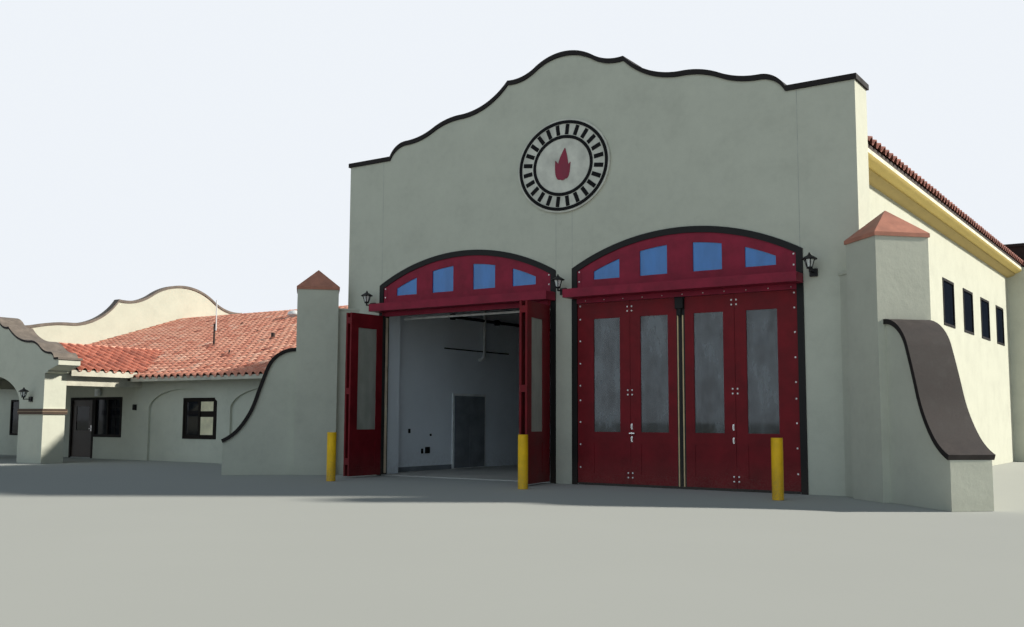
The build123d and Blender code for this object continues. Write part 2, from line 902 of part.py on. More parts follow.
def roof_pipe_set():
    """The mast with its antenna, the flue and the vent pipes of the wing roof."""
    pipes = []
    for left, back, radius, height in roof_pipes:
        x = -bay_side_x - left
        y = wing_eave_y + back
        foot_z = wing_soffit_z(y) + wing_slab
        top_z = foot_z + height
        pipes.append(post(x, y, radius, foot_z - wing_slab, top_z) - under_wing_roof())
    left, back, radius, height = roof_pipes[0]
    x = -bay_side_x - left
    y = wing_eave_y + back
    foot_z = wing_soffit_z(y) + wing_slab
    bracket_z = foot_z + antenna_z0
    thick = 2 * antenna_radius
    arm = block(x, x + antenna_offset, y - thick / 2, y + thick / 2, bracket_z, bracket_z + thick)
    rod = post(x + antenna_offset, y, antenna_radius, bracket_z, bracket_z + antenna_length)
    pipes[0] += arm + rod
    return pipes


def frame_ring(x0, x1, z0, z1, width, y0, y1):
    """A rectangular frame drawn in X and Z."""
    ring = block(x0, x1, y0, y1, z0, z1)
    return ring - block(x0 + width, x1 - width, 2 * y0 - y1, 2 * y1 - y0, z0 + width, z1 - width)


def sidelight_middle():
    """The middle bar of the window beside the entry door."""
    return (entry_x1 + sidelight_x1) / 2


def entry_frame():
    """The frame round the entry door and the window beside it."""
    y0 = wing_front_y - entry_frame_proud
    y1 = y0 + entry_frame_depth
    w = entry_frame_width
    frame = block(entry_x0, entry_x0 + w, y0, y1, 0, entry_head_z)
    frame += block(entry_x1 - w, entry_x1, y0, y1, 0, entry_head_z)
    frame += block(entry_x0, entry_x1, y0, y1, entry_head_z - w, entry_head_z)
    frame += frame_ring(entry_x1, sidelight_x1, sidelight_z0, entry_head_z, w, y0, y1)
    middle = sidelight_middle()
    return frame + block(middle - w / 2, middle + w / 2, y0, y1, sidelight_z0, entry_head_z)


def entry_leaf():
    """The entry door leaf with its hinges and its glass, set back in its frame."""
    x0 = entry_x0 + entry_frame_width + entry_clear
    x1 = entry_x1 - entry_frame_width - entry_clear
    z1 = entry_head_z - entry_frame_width - entry_clear
    y0 = wing_front_y + entry_leaf_set_back
    y1 = y0 + entry_leaf_thick
    m = entry_pane_margin
    leaf = block(x0, x1, y0, y1, floor_top + entry_clear, z1)
    leaf -= block(x0 + m, x1 - m, y0 - m, y1 + m, entry_pane_z0, entry_pane_z1)
    for z in entry_hinge_z:
        leaf += post(x0, y0, entry_clear - fit_gap, z, z + entry_hinge_height)
    front = (y0 + y1 - glass_thick) / 2
    pane = block(x0 + m, x1 - m, front, front + glass_thick, entry_pane_z0, entry_pane_z1)
    return leaf, pane


def entry_nodes():
    """The hinged entry door, its glass and its fixed frame."""
    leaf, pane = entry_leaf()
    return {"entry_frame": [entry_frame()], "entry_door": [leaf], "entry_door_glass": [pane]}


def window(width, z0, height, bars):
    """A window about the origin in plan, facing -Y: its frame and its panes."""
    w = window_frame_width
    half = width / 2
    y0 = -window_frame_proud
    y1 = y0 + window_frame_depth
    g0 = (y0 + y1 - glass_thick) / 2
    frame = frame_ring(-half, half, z0, z0 + height, w, y0, y1)
    step = (width - w) / (bars + 1)
    panes = []
    for index in range(bars + 1):
        left = -half + w + step * index
        panes.append(block(left, left + step - w, g0, g0 + glass_thick, z0 + w, z0 + height - w))
        if index < bars:
            frame += block(left + step - w, left + step, y0, y1, z0, z0 + height)
    return frame, panes


def window_set():
    """Frames and panes of every fixed window, as two lists."""
    wing_frame, wing_panes = window(wing_window_width, wing_window_z0, wing_window_height, 1)
    side_frame, side_panes = window(side_window_width, side_window_z0, side_window_height, 0)
    spots = [Pos(x, y, 0) for x, y in wing_window_spots()]
    spots += [Pos(x, wing_rear_y, 0) * Rot(0, 0, 180) for x in rear_window_spots()]
    spots += [Pos(wing_left_x - wing_gable_thick, y, 0) * Rot(0, 0, -90) for y in gable_window_spots()]
    side_spots = [Pos(bay_side_x, y, 0) * Rot(0, 0, 90) for y in side_window_spots()]
    frames = [spot * wing_frame for spot in spots] + [spot * side_frame for spot in side_spots]
    glass = []
    for spot in spots:
        glass += [spot * pane for pane in wing_panes]
    for spot in side_spots:
        glass += [spot * pane for pane in side_panes]
    return frames, glass + sidelight_panes()


def sidelight_panes():
    """The two panes of the window beside the entry door."""
    y0 = wing_front_y - entry_frame_proud + (entry_frame_depth - glass_thick) / 2
    w = entry_frame_width
    middle = sidelight_middle()
    z1 = entry_head_z - w
    panes = []
    for x0, x1 in ((entry_x1 + w, middle - w / 2), (middle + w / 2, sidelight_x1 - w)):
        panes.append(block(x0, x1, y0, y0 + glass_thick, sidelight_z0 + w, z1))
    return panes


def portico_front():
    """The portico's two banded piers, its arched gable and the coping."""
    half = portico_arch_half
    y0 = portico_front_y
    y1 = portico_back_y
    piers = []
    for side in (1, -1):
        far = side * (portico_end + band_proud)
        pier = block(side * half, side * portico_end, y0, y1, 0, portico_spring_z)
        pier += block(side * half, far, y0 - band_proud, y1 + band_proud, band_z0, band_z0 + band_height)
        piers.append(Pos(portico_x, 0, 0) * pier)
    lip = portico_end + portico_cornice_reach
    lower = [
        (portico_gable_half, portico_corbel_z1),
        (lip, portico_corbel_z0),
        (lip, portico_corbel_z0 - portico_cornice_height),
        (portico_end, portico_corbel_z0 - portico_cornice_height - portico_cornice_drop),
        (portico_end, portico_spring_z),
    ]
    corners = lower + [(-x, z) for x, z in reversed(lower)]
    gable = along_y(crest_face(portico_crest, portico_gable_half, portico_flat_z, corners), y0, y1)
    arch = EllipticalCenterArc((0, portico_spring_z), half, portico_arch_rise, arc_size=180)
    sill = Polyline((-half, portico_spring_z), (-half, 0), (half, 0), (half, portico_spring_z))
    gable -= along_y(make_face([arch, sill]), y0 - portico_thick, y1 + portico_thick)
    cap = coping_face(portico_crest, portico_gable_half, portico_flat_z, portico_coping_thick)
    cap = along_y(cap, y0 - coping_lip, y1 + coping_lip)
    return piers, Pos(portico_x, 0, 0) * gable, Pos(portico_x, 0, 0) * cap


def portico_ceiling():
    """The two beams back to the wing wall, and the ceiling that they carry."""
    y0 = portico_back_y
    z1 = portico_beam_z0 + portico_beam_height
    frame = block(-portico_end, portico_end, y0, wing_front_y, z1 - portico_ceiling_thick, z1)
    for side in (1, -1):
        inner = side * (portico_end - portico_beam_thick)
        frame += block(inner, side * portico_end, y0, wing_front_y, portico_beam_z0, z1)
    return Pos(portico_x, 0, 0) * frame - over_wing_soffit()


def tapered(low, high, z0, z1):
    """A many-sided taper on the lantern's centre, by its radius below and above."""
    base = Plane.XY.offset(z0) * RegularPolygon(low, lantern_sides)
    inward = (low - high) * math.cos(math.pi / lantern_sides)
    taper = math.degrees(math.atan2(inward, z1 - z0))
    return Pos(0, -lantern_reach, 0) * extrude(base, z1 - z0, taper=taper)


def lantern():
    """One wall lantern facing -Y: its frame, its cap and its glass."""
    half = lantern_box / 2
    a = lantern_arm / 2
    z = lantern_box_z
    arm_z = z + half
    frame = block(-half, half, -lantern_box_depth, 0, z, z + lantern_box)
    frame += block(-a, a, -lantern_reach - a, -lantern_box_depth, arm_z - a, arm_z + a)
    frame += block(-a, a, -lantern_reach - a, -lantern_reach + a, arm_z - a, lantern_glass_z)
    foot_z = lantern_glass_z - lantern_foot_height
    frame += tapered(lantern_glass_low, lantern_glass_low, foot_z, lantern_glass_z)
    cap_z = lantern_glass_z + lantern_glass_height
    cap = tapered(lantern_cap_low, lantern_cap_high, cap_z, cap_z + lantern_cap_height)
    glass = tapered(lantern_glass_low, lantern_glass_high, lantern_glass_z, cap_z)
    return frame, cap, glass


def lantern_nodes():
    """Every lantern of the bay front and the portico."""
    frame, cap, glass = lantern()
    outer = bay_x + bay_half + lantern_side_out
    spots = [Pos(x, 0, 0) for x in (-outer, 0, outer)]
    for side in (1, -1):
        x = portico_x + side * (portico_arch_half + portico_pier_width / 2)
        spots.append(Pos(x, portico_front_y, -portico_lantern_drop))
    frames = []
    for spot in spots:
        frames += [spot * frame, spot * cap]
    return {"lantern_frames": frames, "lantern_glass": [spot * glass for spot in spots]}


def wing_nodes():
    """The wing, its entry and its portico."""
    nodes = wing_walls()
    wall, coping = gable_wall()
    frames, glass = window_set()
    piers, gable, cap = portico_front()
    nodes.update(entry_nodes())
    nodes.update({
        "wing_gable_wall": [wall],
        "wing_gable_coping": [coping],
        "wing_roof": [wing_roof()],
        "wing_fascias": wing_fascias(),
        "wing_floor": [wing_floor()],
        "wing_roof_pipes": roof_pipe_set(),
        "window_frames": frames,
        "window_glass": glass,
        "portico_piers": piers,
        "portico_gable": [gable],
        "portico_coping": [cap],
        "portico_ceiling": [portico_ceiling()],
        "portico_roof": [portico_roof()],
    })
    return nodes


def all_nodes():
    """Every node of the building with its solids."""
    nodes = front_nodes()
    nodes.update(rear_nodes())
    nodes.update(bay_nodes())
    nodes.update(corner_nodes())
    nodes.update(wing_nodes())
    nodes.update(lantern_nodes())
    nodes["door_bollards"] = [post(x, y, bollard_radius, 0, bollard_height) for x, y in bollard_points]
    return nodes


os.makedirs("parts", exist_ok=True)
for name, shapes in all_nodes().items():
    solids = []
    for shape in shapes:
        solids += (Pos(0, -front_thick / 2, 0) * shape).solids()
    export_step(Compound(children=solids), "parts/" + name + ".step")
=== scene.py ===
import math
import random

import bmesh
import bpy
import numpy as np
from mathutils import Matrix, Vector


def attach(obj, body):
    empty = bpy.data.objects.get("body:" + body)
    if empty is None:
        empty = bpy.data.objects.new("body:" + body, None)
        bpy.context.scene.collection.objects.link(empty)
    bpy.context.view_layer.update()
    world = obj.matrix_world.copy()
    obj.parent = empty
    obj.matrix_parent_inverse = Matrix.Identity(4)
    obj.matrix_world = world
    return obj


# The looks of the fire station, in metres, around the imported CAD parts.
# X runs along the bay front from the middle pier, Y into the building with 0 at
# the middle of the front wall, and Z up from the ground.

# Camera: where the photograph was taken from, and how it was turned
camera_place = (12.692, -21.384, 1.497)
camera_yaw = 0.594813
camera_pitch = 0.100886
camera_roll = 0.004114
camera_lens = 36.58

# Light: a soft sun from the right and behind, a wide fill from the front, an even sky
sun_towards = (0.7215, 0.522, 0.4545)
sun_level = 1.9
sun_softness = 0.06
sun_colour = (1.0, 0.96, 0.86)
fill_towards = (0.1, -0.97, 0.12)
fill_level = 0.36
fill_softness = 1.6
fill_colour = (0.7, 0.87, 1.0)
sky_level = 0.17
sky_colour = (0.76, 0.89, 1.0)
backdrop_colour = (0.86, 0.9, 0.95)
floor_colour = (0.45, 0.46, 0.44)
floor_half = 400.0
floor_drop = 0.004

# Places on the engine bays
front_y = -0.425
wall_back_y = 0.425
bay_width = 5.53
bay_x = 2.99
door_half = 2.625
plate_reach = 2.57
transom_foot_z = 4.6
bay_side_x = 6.36
bay_inner_x = -6.06
bay_eave_x = 6.88
bay_roof_slope = 0.303
bay_roof_top = 7.29
bay_back_y = 21.245
cornice_foot_z = 6.975
lining_z = 7.2
rear_wall_end_x = -7.2
rear_wall_y = (21.1, 22.2)
sign_z = 7.535
sign_face_y = front_y - 0.06
sign_bars = 24
sign_bar_reach_x = 0.993
sign_bar_reach_z = 0.878

# Places on the wing and its portico
wing_left_x = -29.9
wing_wall_y = 1.775
wing_eave_y = 1.175
wing_ridge_y = 12.275
wing_roof_slope = 0.315
wing_roof_top = 2.82
wing_window_x = -15.7
recess_depth = 0.09
aerial_x = -19.21
mast_y = 5.375
portico_x = -22.0
portico_front_y = -1.925
portico_back_y = -1.145
portico_roof_half = 3.5
portico_roof_slope = 0.305
portico_roof_top = 3.005
band_z = 1.67
band_half = 0.09

# Lanterns, which hang lower on the portico than on the front wall
lantern_reach = 0.28
lantern_glass_z = 4.59
lantern_cap_z = 4.75
lantern_cap_height = 0.085
portico_lantern_drop = 2.43

# How far a piece is let into the wall behind it, and when a face counts as square
sunk = 0.001
square_on = 0.9

# Dust on paint, up to a height over the ground
dust_top = 0.7
dust_colour = (0.22, 0.17, 0.13)

# Roof tiles
tile_width = 0.33
tile_length = 0.4
tile_rise = 0.118
tile_fullness = 0.7
tile_thick = 0.016
tile_tilt = 0.012
tile_lap = 0.05
tile_samples = 10
tile_barrel = 0.68
tile_overhang = 0.06
tile_side_gap = 0.01
tile_loose_lift = 0.006
tile_loose_slide = 0.008
pan_depth = 0.012
pan_lift = 0.014

# Ridge caps: the arc in radians, the reach as a share of the step between two
ridge_radius = 0.11
portico_ridge_radius = 0.1
ridge_step = 0.34
ridge_lift = 0.02
cap_samples = 9
cap_arc = 1.1 * math.pi
cap_dip = 0.05 * math.pi
cap_reach = 1.12
cap_narrowing = 0.84
cap_thick = 0.018

# Shades of the clay from 0 to 1, each pair a middle and a spread
tint_layer = "tile_tint"
tile_shades = (0.52, 0.2)
tile_eave_shades = (0.4, 0.05)
tile_darkest = 0.02
# The bay's two lowest rows take the darkest clay: painted shade in the hollow tile ends at the eave
bay_eave_painted_shade = (0.0, 0.012)
bay_painted_shade_rows = 2
# The portico's tiles take far darker clay than the wing's: painted shade on the barrel sides that face away
# from the sun
portico_painted_shade_tints = (0.06, 0.04)
portico_eave_painted_shade_tints = (0.08, 0.04)
cap_shades = (0.5, 0.22)

rng = random.Random(5)


def tree_of(name):
    """A new material, its node tree, its shader, and the place of a point in it."""
    material = bpy.data.materials.new(name)
    material.use_nodes = True
    tree = material.node_tree
    return material, tree, tree.nodes["Principled BSDF"], object_place(tree)


def object_place(tree):
    """Where a point is on the building, in metres."""
    return tree.nodes.new("ShaderNodeTexCoord").outputs["Object"]


def stretched(tree, vector, scale):
    """The same place, squeezed or stretched along each axis."""
    node = tree.nodes.new("ShaderNodeMapping")
    node.inputs["Scale"].default_value = scale
    tree.links.new(vector, node.inputs["Vector"])
    return node.outputs["Vector"]


def noise(tree, vector, scale, detail, roughness):
    """A cloudy pattern from 0 to 1."""
    node = tree.nodes.new("ShaderNodeTexNoise")
    for name, value in (("Scale", scale), ("Detail", detail), ("Roughness", roughness)):
        node.inputs[name].default_value = value
    tree.links.new(vector, node.inputs["Vector"])
    return node.outputs["Fac"]


def spread(tree, value, low, high, to_low=0.0, to_high=1.0):
    """A value mapped from one range to another, and held inside it."""
    node = tree.nodes.new("ShaderNodeMapRange")
    limits = {"From Min": low, "From Max": high, "To Min": to_low, "To Max": to_high}
    for name, limit in limits.items():
        node.inputs[name].default_value = limit
    tree.links.new(value, node.inputs["Value"])
    return node.outputs["Result"]


def combined(tree, operation, a, b):
    """Two values put together by an operation such as a sum or a product."""
    node = tree.nodes.new("ShaderNodeMath")
    node.operation = operation
    for index, value in enumerate((a, b)):
        if isinstance(value, float):
            node.inputs[index].default_value = value
        else:
            tree.links.new(value, node.inputs[index])
    return node.outputs[0]


def scaled(tree, value, factor):
    """A value made larger or smaller, by a number or by a pattern."""
    return combined(tree, "MULTIPLY", value, factor)


def ramp(tree, value, stops):
    """Colours along a value, given as places and colours."""
    node = tree.nodes.new("ShaderNodeValToRGB")
    elements = node.color_ramp.elements
    while len(elements) < len(stops):
        elements.new(0.5)
    for element, (place, colour) in zip(elements, stops):
        element.position = place
        element.color = (*colour, 1.0)
    tree.links.new(value, node.inputs["Fac"])
    return node.outputs["Color"]


def mixed(tree, factor, a, b):
    """Two colours mixed by a factor."""
    node = tree.nodes.new("ShaderNodeMix")
    node.data_type = "RGBA"
    for socket, value in ((node.inputs[0], factor), (node.inputs[6], a), (node.inputs[7], b)):
        if isinstance(value, tuple):
            socket.default_value = (*value, 1.0)
        else:
            tree.links.new(value, socket)
    return node.outputs[2]


def bump(tree, shader, height, strength, distance):
    """Relief on the shader from a pattern."""
    node = tree.nodes.new("ShaderNodeBump")
    node.inputs["Strength"].default_value = strength
    node.inputs["Distance"].default_value = distance
    tree.links.new(height, node.inputs["Height"])
    tree.links.new(node.outputs["Normal"], shader.inputs["Normal"])


def height_above(tree, vector, low, high):
    """From 1 at one height to 0 at another."""
    split = tree.nodes.new("ShaderNodeSeparateXYZ")
    tree.links.new(vector, split.inputs[0])
    return spread(tree, split.outputs["Z"], low, high, 1.0, 0.0)


def shade(colour, factor):
    """A colour made darker or lighter."""
    return tuple(min(1.0, channel * factor) for channel in colour)


def feed(tree, shader, colour, roughness, shine=0.5):
    """Wire a colour and a roughness into a shader, and set how much it shines."""
    tree.links.new(colour, shader.inputs["Base Color"])
    tree.links.new(roughness, shader.inputs["Roughness"])
    shader.inputs["Specular IOR Level"].default_value = shine


def stucco(name, colour, grain=1.0):
    """Sand-float stucco: cloudy trowel patches, fine grain and splash at the foot."""
    material, tree, shader, place = tree_of(name)
    cloud = noise(tree, stretched(tree, place, (1.0, 1.0, 1.25)), 1.1, 5.0, 0.62)
    patch = noise(tree, place, 6.5, 4.0, 0.6)
    tone = combined(tree, "ADD", scaled(tree, cloud, 0.7), scaled(tree, patch, 0.3))
    base = ramp(tree, tone, ((0.3, shade(colour, 0.9)), (0.5, colour), (0.7, shade(colour, 1.06))))
    speck = noise(tree, place, 140.0, 2.0, 0.5)
    base = mixed(tree, spread(tree, speck, 0.5, 0.72, 0.0, 0.22), base, shade(colour, 0.6))
    streak = noise(tree, stretched(tree, place, (3.0, 3.0, 0.25)), 1.6, 3.0, 0.6)
    base = mixed(tree, spread(tree, streak, 0.58, 0.8, 0.0, 0.1), base, shade(colour, 0.66))
    splash = spread(tree, patch, 0.3, 0.7, 0.05, 0.3)
    foot = scaled(tree, height_above(tree, place, 0.0, 0.3), splash)
    base = mixed(tree, foot, base, shade(colour, 0.7))
    feed(tree, shader, base, spread(tree, patch, 0.3, 0.7, 0.82, 0.95), 0.12)
    relief = combined(tree, "ADD", scaled(tree, speck, 0.4), scaled(tree, patch, 1.4))
    bump(tree, shader, relief, 0.35 * grain, 0.012)
    return material


def lined_stucco(name, colour, lining, line_z):
    """Stucco with the roof's dark membrane turned up on it above one height."""
    material = stucco(name, colour)
    tree = material.node_tree
    shader = tree.nodes["Principled BSDF"]
    place = object_place(tree)
    wall = shader.inputs["Base Color"].links[0].from_socket
    ragged = noise(tree, place, 3.0, 4.0, 0.6)
    edge = combined(tree, "ADD", height_above(tree, place, line_z - 0.12, line_z + 0.12), ragged)
    blotch = noise(tree, place, 2.6, 5.0, 0.65)
    dark = ramp(tree, blotch, ((0.3, shade(lining, 0.7)), (0.7, shade(lining, 1.5))))
    tree.links.new(mixed(tree, spread(tree, edge, 0.95, 1.05), dark, wall), shader.inputs["Base Color"])
    return material


def painted(name, colour, gloss, wear=0.3, shine=0.3, scale=2.2, cloud_depth=1.0):
    """Smooth paint with faint clouds, dust low down and slight waviness."""
    material, tree, shader, place = tree_of(name)
    cloud = noise(tree, place, scale, 4.0, 0.6)
    fine = noise(tree, place, scale * 22.0, 2.0, 0.5)
    dark = shade(colour, 1.0 - 0.22 * cloud_depth)
    pale = shade(colour, 1.0 + 0.2 * cloud_depth)
    base = ramp(tree, cloud, ((0.32, dark), (0.52, colour), (0.7, pale)))
    specks = spread(tree, fine, 0.35, 0.7, 0.0, wear)
    dust = scaled(tree, height_above(tree, place, 0.0, dust_top), specks)
    base = mixed(tree, dust, base, dust_colour)
    feed(tree, shader, base, spread(tree, cloud, 0.3, 0.7, gloss, gloss + 0.14), shine)
    bump(tree, shader, fine, 0.08, 0.004)
    return material


def coated_mortar(name, colour, spots=1.0):
    """The painted cement of a coping: blotchy, rough and dusty."""
    material, tree, shader, place = tree_of(name)
    blotch = noise(tree, place, 3.4, 6.0, 0.68)
    grit = noise(tree, place, 90.0, 2.0, 0.5)
    base = ramp(tree, blotch, ((0.3, shade(colour, 0.7)), (0.5, colour), (0.72, shade(colour, 1.55))))
    base = mixed(tree, spread(tree, grit, 0.55, 0.75, 0.0, 0.35 * spots), base, shade(colour, 2.1))
    feed(tree, shader, base, spread(tree, blotch, 0.3, 0.7, 0.55, 0.85), 0.15)
    bump(tree, shader, combined(tree, "ADD", blotch, scaled(tree, grit, 0.3)), 0.3, 0.01)
    return material


def metal(name, colour, roughness, metallic=0.9):
    """Bare or plated metal with faint brushing."""
    material, tree, shader, place = tree_of(name)
    brush = noise(tree, stretched(tree, place, (30.0, 30.0, 4.0)), 6.0, 3.0, 0.6)
    base = ramp(tree, brush, ((0.3, shade(colour, 0.8)), (0.7, shade(colour, 1.1))))
    feed(tree, shader, base, spread(tree, brush, 0.3, 0.7, roughness, roughness + 0.15))
    shader.inputs["Metallic"].default_value = metallic
    bump(tree, shader, brush, 0.05, 0.002)
    return material


def concrete(name, colour):
    """Trowelled concrete with clouds and dark pores."""
    material, tree, shader, place = tree_of(name)
    cloud = noise(tree, place, 0.7, 6.0, 0.65)
    pore = noise(tree, place, 55.0, 3.0, 0.6)
    base = ramp(tree, cloud, ((0.3, shade(colour, 0.75)), (0.5, colour), (0.7, shade(colour, 1.15))))
    base = mixed(tree, spread(tree, pore, 0.6, 0.8, 0.0, 0.4), base, shade(colour, 0.5))
    feed(tree, shader, base, spread(tree, cloud, 0.3, 0.7, 0.5, 0.8))
    bump(tree, shader, pore, 0.2, 0.004)
    return material


def glazing(name, colour, opacity, roughness=0.03, shine=0.5, cloud=0.1):
    """Window glass: a see-through tinted sheet with smears. A large cloud widens their tone into a painted
    reflection.
    """
    material, tree, shader, place = tree_of(name)
    smear_and_painted_reflection = noise(tree, stretched(tree, place, (1.0, 1.0, 0.4)), 3.5, 3.0, 0.6)
    base = ramp(tree, smear_and_painted_reflection, ((0.35, shade(colour, 1.0 - cloud)), (0.65, shade(colour, 1.0 + cloud))))
    feed(tree, shader, base, spread(tree, smear_and_painted_reflection, 0.45, 0.8, roughness, roughness + 0.08), shine)
    shader.inputs["Alpha"].default_value = opacity
    return material


def clay(name):
    """Fired clay roof tile: each tile its own shade, with flashed darker marks."""
    material, tree, shader, place = tree_of(name)
    tint = tree.nodes.new("ShaderNodeAttribute")
    tint.attribute_name = tint_layer
    shades = (
        (0.0, (0.2, 0.055, 0.04)),
        (0.06, (0.46, 0.145, 0.095)),
        (0.25, (0.62, 0.23, 0.155)),
        (0.5, (0.74, 0.33, 0.23)),
        (0.8, (0.8, 0.42, 0.3)),
        (1.0, (0.84, 0.52, 0.4)),
    )
    base = ramp(tree, tint.outputs["Fac"], shades)
    flash = noise(tree, place, 5.0, 5.0, 0.65)
    grit = noise(tree, place, 70.0, 2.0, 0.5)
    base = mixed(tree, spread(tree, flash, 0.5, 0.75, 0.0, 0.45), base, (0.2, 0.055, 0.035))
    base = mixed(tree, spread(tree, grit, 0.5, 0.8, 0.0, 0.25), base, (0.75, 0.45, 0.32))
    feed(tree, shader, base, spread(tree, flash, 0.3, 0.7, 0.7, 0.9))
    bump(tree, shader, combined(tree, "ADD", flash, scaled(tree, grit, 0.4)), 0.3, 0.008)
    return material


def lamp_glass(name):
    """Pale frosted glass of a lantern."""
    material, tree, shader, place = tree_of(name)
    seed = noise(tree, place, 45.0, 2.0, 0.5)
    base = ramp(tree, seed, ((0.3, (0.72, 0.74, 0.72)), (0.7, (0.88, 0.89, 0.86))))
    feed(tree, shader, base, spread(tree, seed, 0.3, 0.7, 0.12, 0.35))
    shader.inputs["Transmission Weight"].default_value = 0.25
    bump(tree, shader, seed, 0.2, 0.003)
    return material


def linked(name, data):
    """A new object in the scene."""
    made = bpy.data.objects.new(name, data)
    bpy.context.scene.collection.objects.link(made)
    return made


def settled(name, mesh, material, body, smooth):
    """An object for a mesh, with its material and body."""
    mesh.materials.append(material)
    if smooth:
        mesh.polygons.foreach_set("use_smooth", [True] * len(mesh.polygons))
    piece = linked(name, mesh)
    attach(piece, body)
    return piece


def from_bmesh(name, bm, material, body="building", smooth=False):
    """A finished piece from an edit mesh."""
    mesh = bpy.data.meshes.new(name)
    bm.to_mesh(mesh)
    bm.free()
    return settled(name, mesh, material, body, smooth)


def add_box(bm, low, high, bevel=0.004):
    """A box with softened edges between two corners."""
    low = Vector(low)
    high = Vector(high)
    size = high - low
    made = bmesh.ops.create_cube(bm, size=1.0)["verts"]
    matrix = Matrix.Translation((low + high) / 2) @ Matrix.Diagonal((size.x, size.y, size.z, 1.0))
    bmesh.ops.transform(bm, matrix=matrix, verts=made)
    edges = list({edge for vert in made for edge in vert.link_edges})
    result = bmesh.ops.bevel(bm, geom=edges, offset=bevel, segments=2, profile=0.5, affect="EDGES")
    return list({vert for face in result["faces"] for vert in face.verts})


def box_piece(name, boxes, material, body="building"):
    """A finished piece of boxes, each given by two corners and its bevel."""
    bm = bmesh.new()
    for low, high, bevel in boxes:
        add_box(bm, low, high, bevel)
    from_bmesh(name, bm, material, body)


def tinted_piece(name, verts, faces, tints, material):
    """A finished piece of clay, with a shade for each point."""
    mesh = bpy.data.meshes.new(name)
    mesh.from_pydata(verts, [], faces)
    mesh.update()
    piece = settled(name, mesh, material, "building", False)
    layer = piece.data.attributes.new(tint_layer, "FLOAT", "POINT")
    layer.data.foreach_set("value", np.array(tints, np.float32))
    return piece


def join_rings(bm, rings):
    """Faces between rings of points, and one over each end."""
    for low, high in zip(rings, rings[1:]):
        for index in range(len(low)):
            after = (index + 1) % len(low)
            bm.faces.new((low[index], low[after], high[after], high[index]))
    bm.faces.new(list(reversed(rings[0])))
    bm.faces.new(rings[-1])


def add_lathe(bm, profile, centre, steps=16, axis="Z"):
    """A turned form: radius and height along its profile, about an upright line.

    With axis "Y" the form lies along Y, out of a front face.
    """
    rings = []
    for radius, height in profile:
        ring = []
        for index in range(steps):
            angle = 2 * math.pi * index / steps
            a = max(radius, 0.0005) * math.cos(angle)
            b = max(radius, 0.0005) * math.sin(angle)
            offset = (a, b, height) if axis == "Z" else (a, -height, b)
            ring.append(bm.verts.new(Vector(centre) + Vector(offset)))
        rings.append(ring)
    join_rings(bm, rings)


def add_bar(bm, low, high, half):
    """A slim square bar between two points."""
    direction = (high - low).normalized()
    made = add_box(bm, (-half, -half, 0), (half, half, (high - low).length), half * 0.4)
    turn = Vector((0, 0, 1)).rotation_difference(direction).to_matrix().to_4x4()
    bmesh.ops.transform(bm, matrix=Matrix.Translation(low) @ turn, verts=made)


def add_tube(bm, points, radius, steps=10):
    """A round bar through some points, with mitred bends."""
    rings = []
    for index, point in enumerate(points):
        before = points[max(index - 1, 0)]
        after = points[min(index + 1, len(points) - 1)]
        direction = (Vector(after) - Vector(before)).normalized()
        turn = Vector((0, 0, 1)).rotation_difference(direction)
        ring = []
        for k in range(steps):
            angle = 2 * math.pi * k / steps
            offset = turn @ Vector((radius * math.cos(angle), radius * math.sin(angle), 0))
            ring.append(bm.verts.new(Vector(point) + offset))
        rings.append(ring)
    join_rings(bm, rings)


def tile_profile():
    """Height of an S tile across its width, from pan to barrel and back."""
    points = []
    for index in range(tile_samples + 1):
        u = index / tile_samples
        if u < tile_barrel:
            height = tile_rise * math.sin(math.pi * u / tile_barrel) ** tile_fullness
        else:
            height = -pan_depth * math.sin(math.pi * (u - tile_barrel) / (1 - tile_barrel))
        points.append((u * tile_width, height + pan_lift))
    return points


def curved_faces(first, n):
    """Faces of one tile or cap: its curved back, and the edge that shows below it."""
    faces = []
    for a in range(first, first + n - 1):
        faces.append((a, a + 1, a + n + 1, a + n))
        faces.append((a + 2 * n, a + 2 * n + 1, a + 1, a))
    return faces


def tile_course(name, slope, keep, material, shades=tile_shades, dark_shades=tile_eave_shades, dark_rows=1):
    """One roof slope of overlapping tiles as one mesh.

    The slope is its low corner, its directions along the eave and up, and how many
    tiles lie each way. Keep tells whether there is a tile at a place. The dark rows
    are the lowest ones.
    """
    origin, along, up, count, rows = slope
    along = Vector(along).normalized()
    up = Vector(up).normalized()
    out = along.cross(up)
    if out.z < 0:
        out = -out
    profile = tile_profile()
    verts = []
    faces = []
    tints = []
    for row in range(rows):
        for column in range(count):
            u0 = column * tile_width
            v0 = row * tile_length
            middle = Vector(origin) + along * (u0 + tile_width / 2) + up * (v0 + tile_length / 2)
            if not keep(middle):
                continue
            if row < dark_rows:
                tint = min(1.0, max(0.0, rng.gauss(*dark_shades)))
            else:
                tint = min(1.0, max(tile_darkest, rng.gauss(*shades)))
            lift = rng.uniform(0.0, tile_loose_lift)
            slide = rng.uniform(-tile_loose_slide, tile_loose_slide)
            faces += curved_faces(len(verts), len(profile))
            low = v0 + slide
            high = v0 + tile_length + tile_lap
            for v, h in ((low, tile_thick + tile_tilt), (high, 0.0), (low, 0.0)):
                for u, z in profile:
                    verts.append(Vector(origin) + along * (u0 + u) + up * v + out * (z + h + lift))
                    tints.append(tint)
    piece = tinted_piece(name, verts, faces, tints, material)
    smooth = [index % 2 == 0 for index in range(len(faces))]
    piece.data.polygons.foreach_set("use_smooth", smooth)


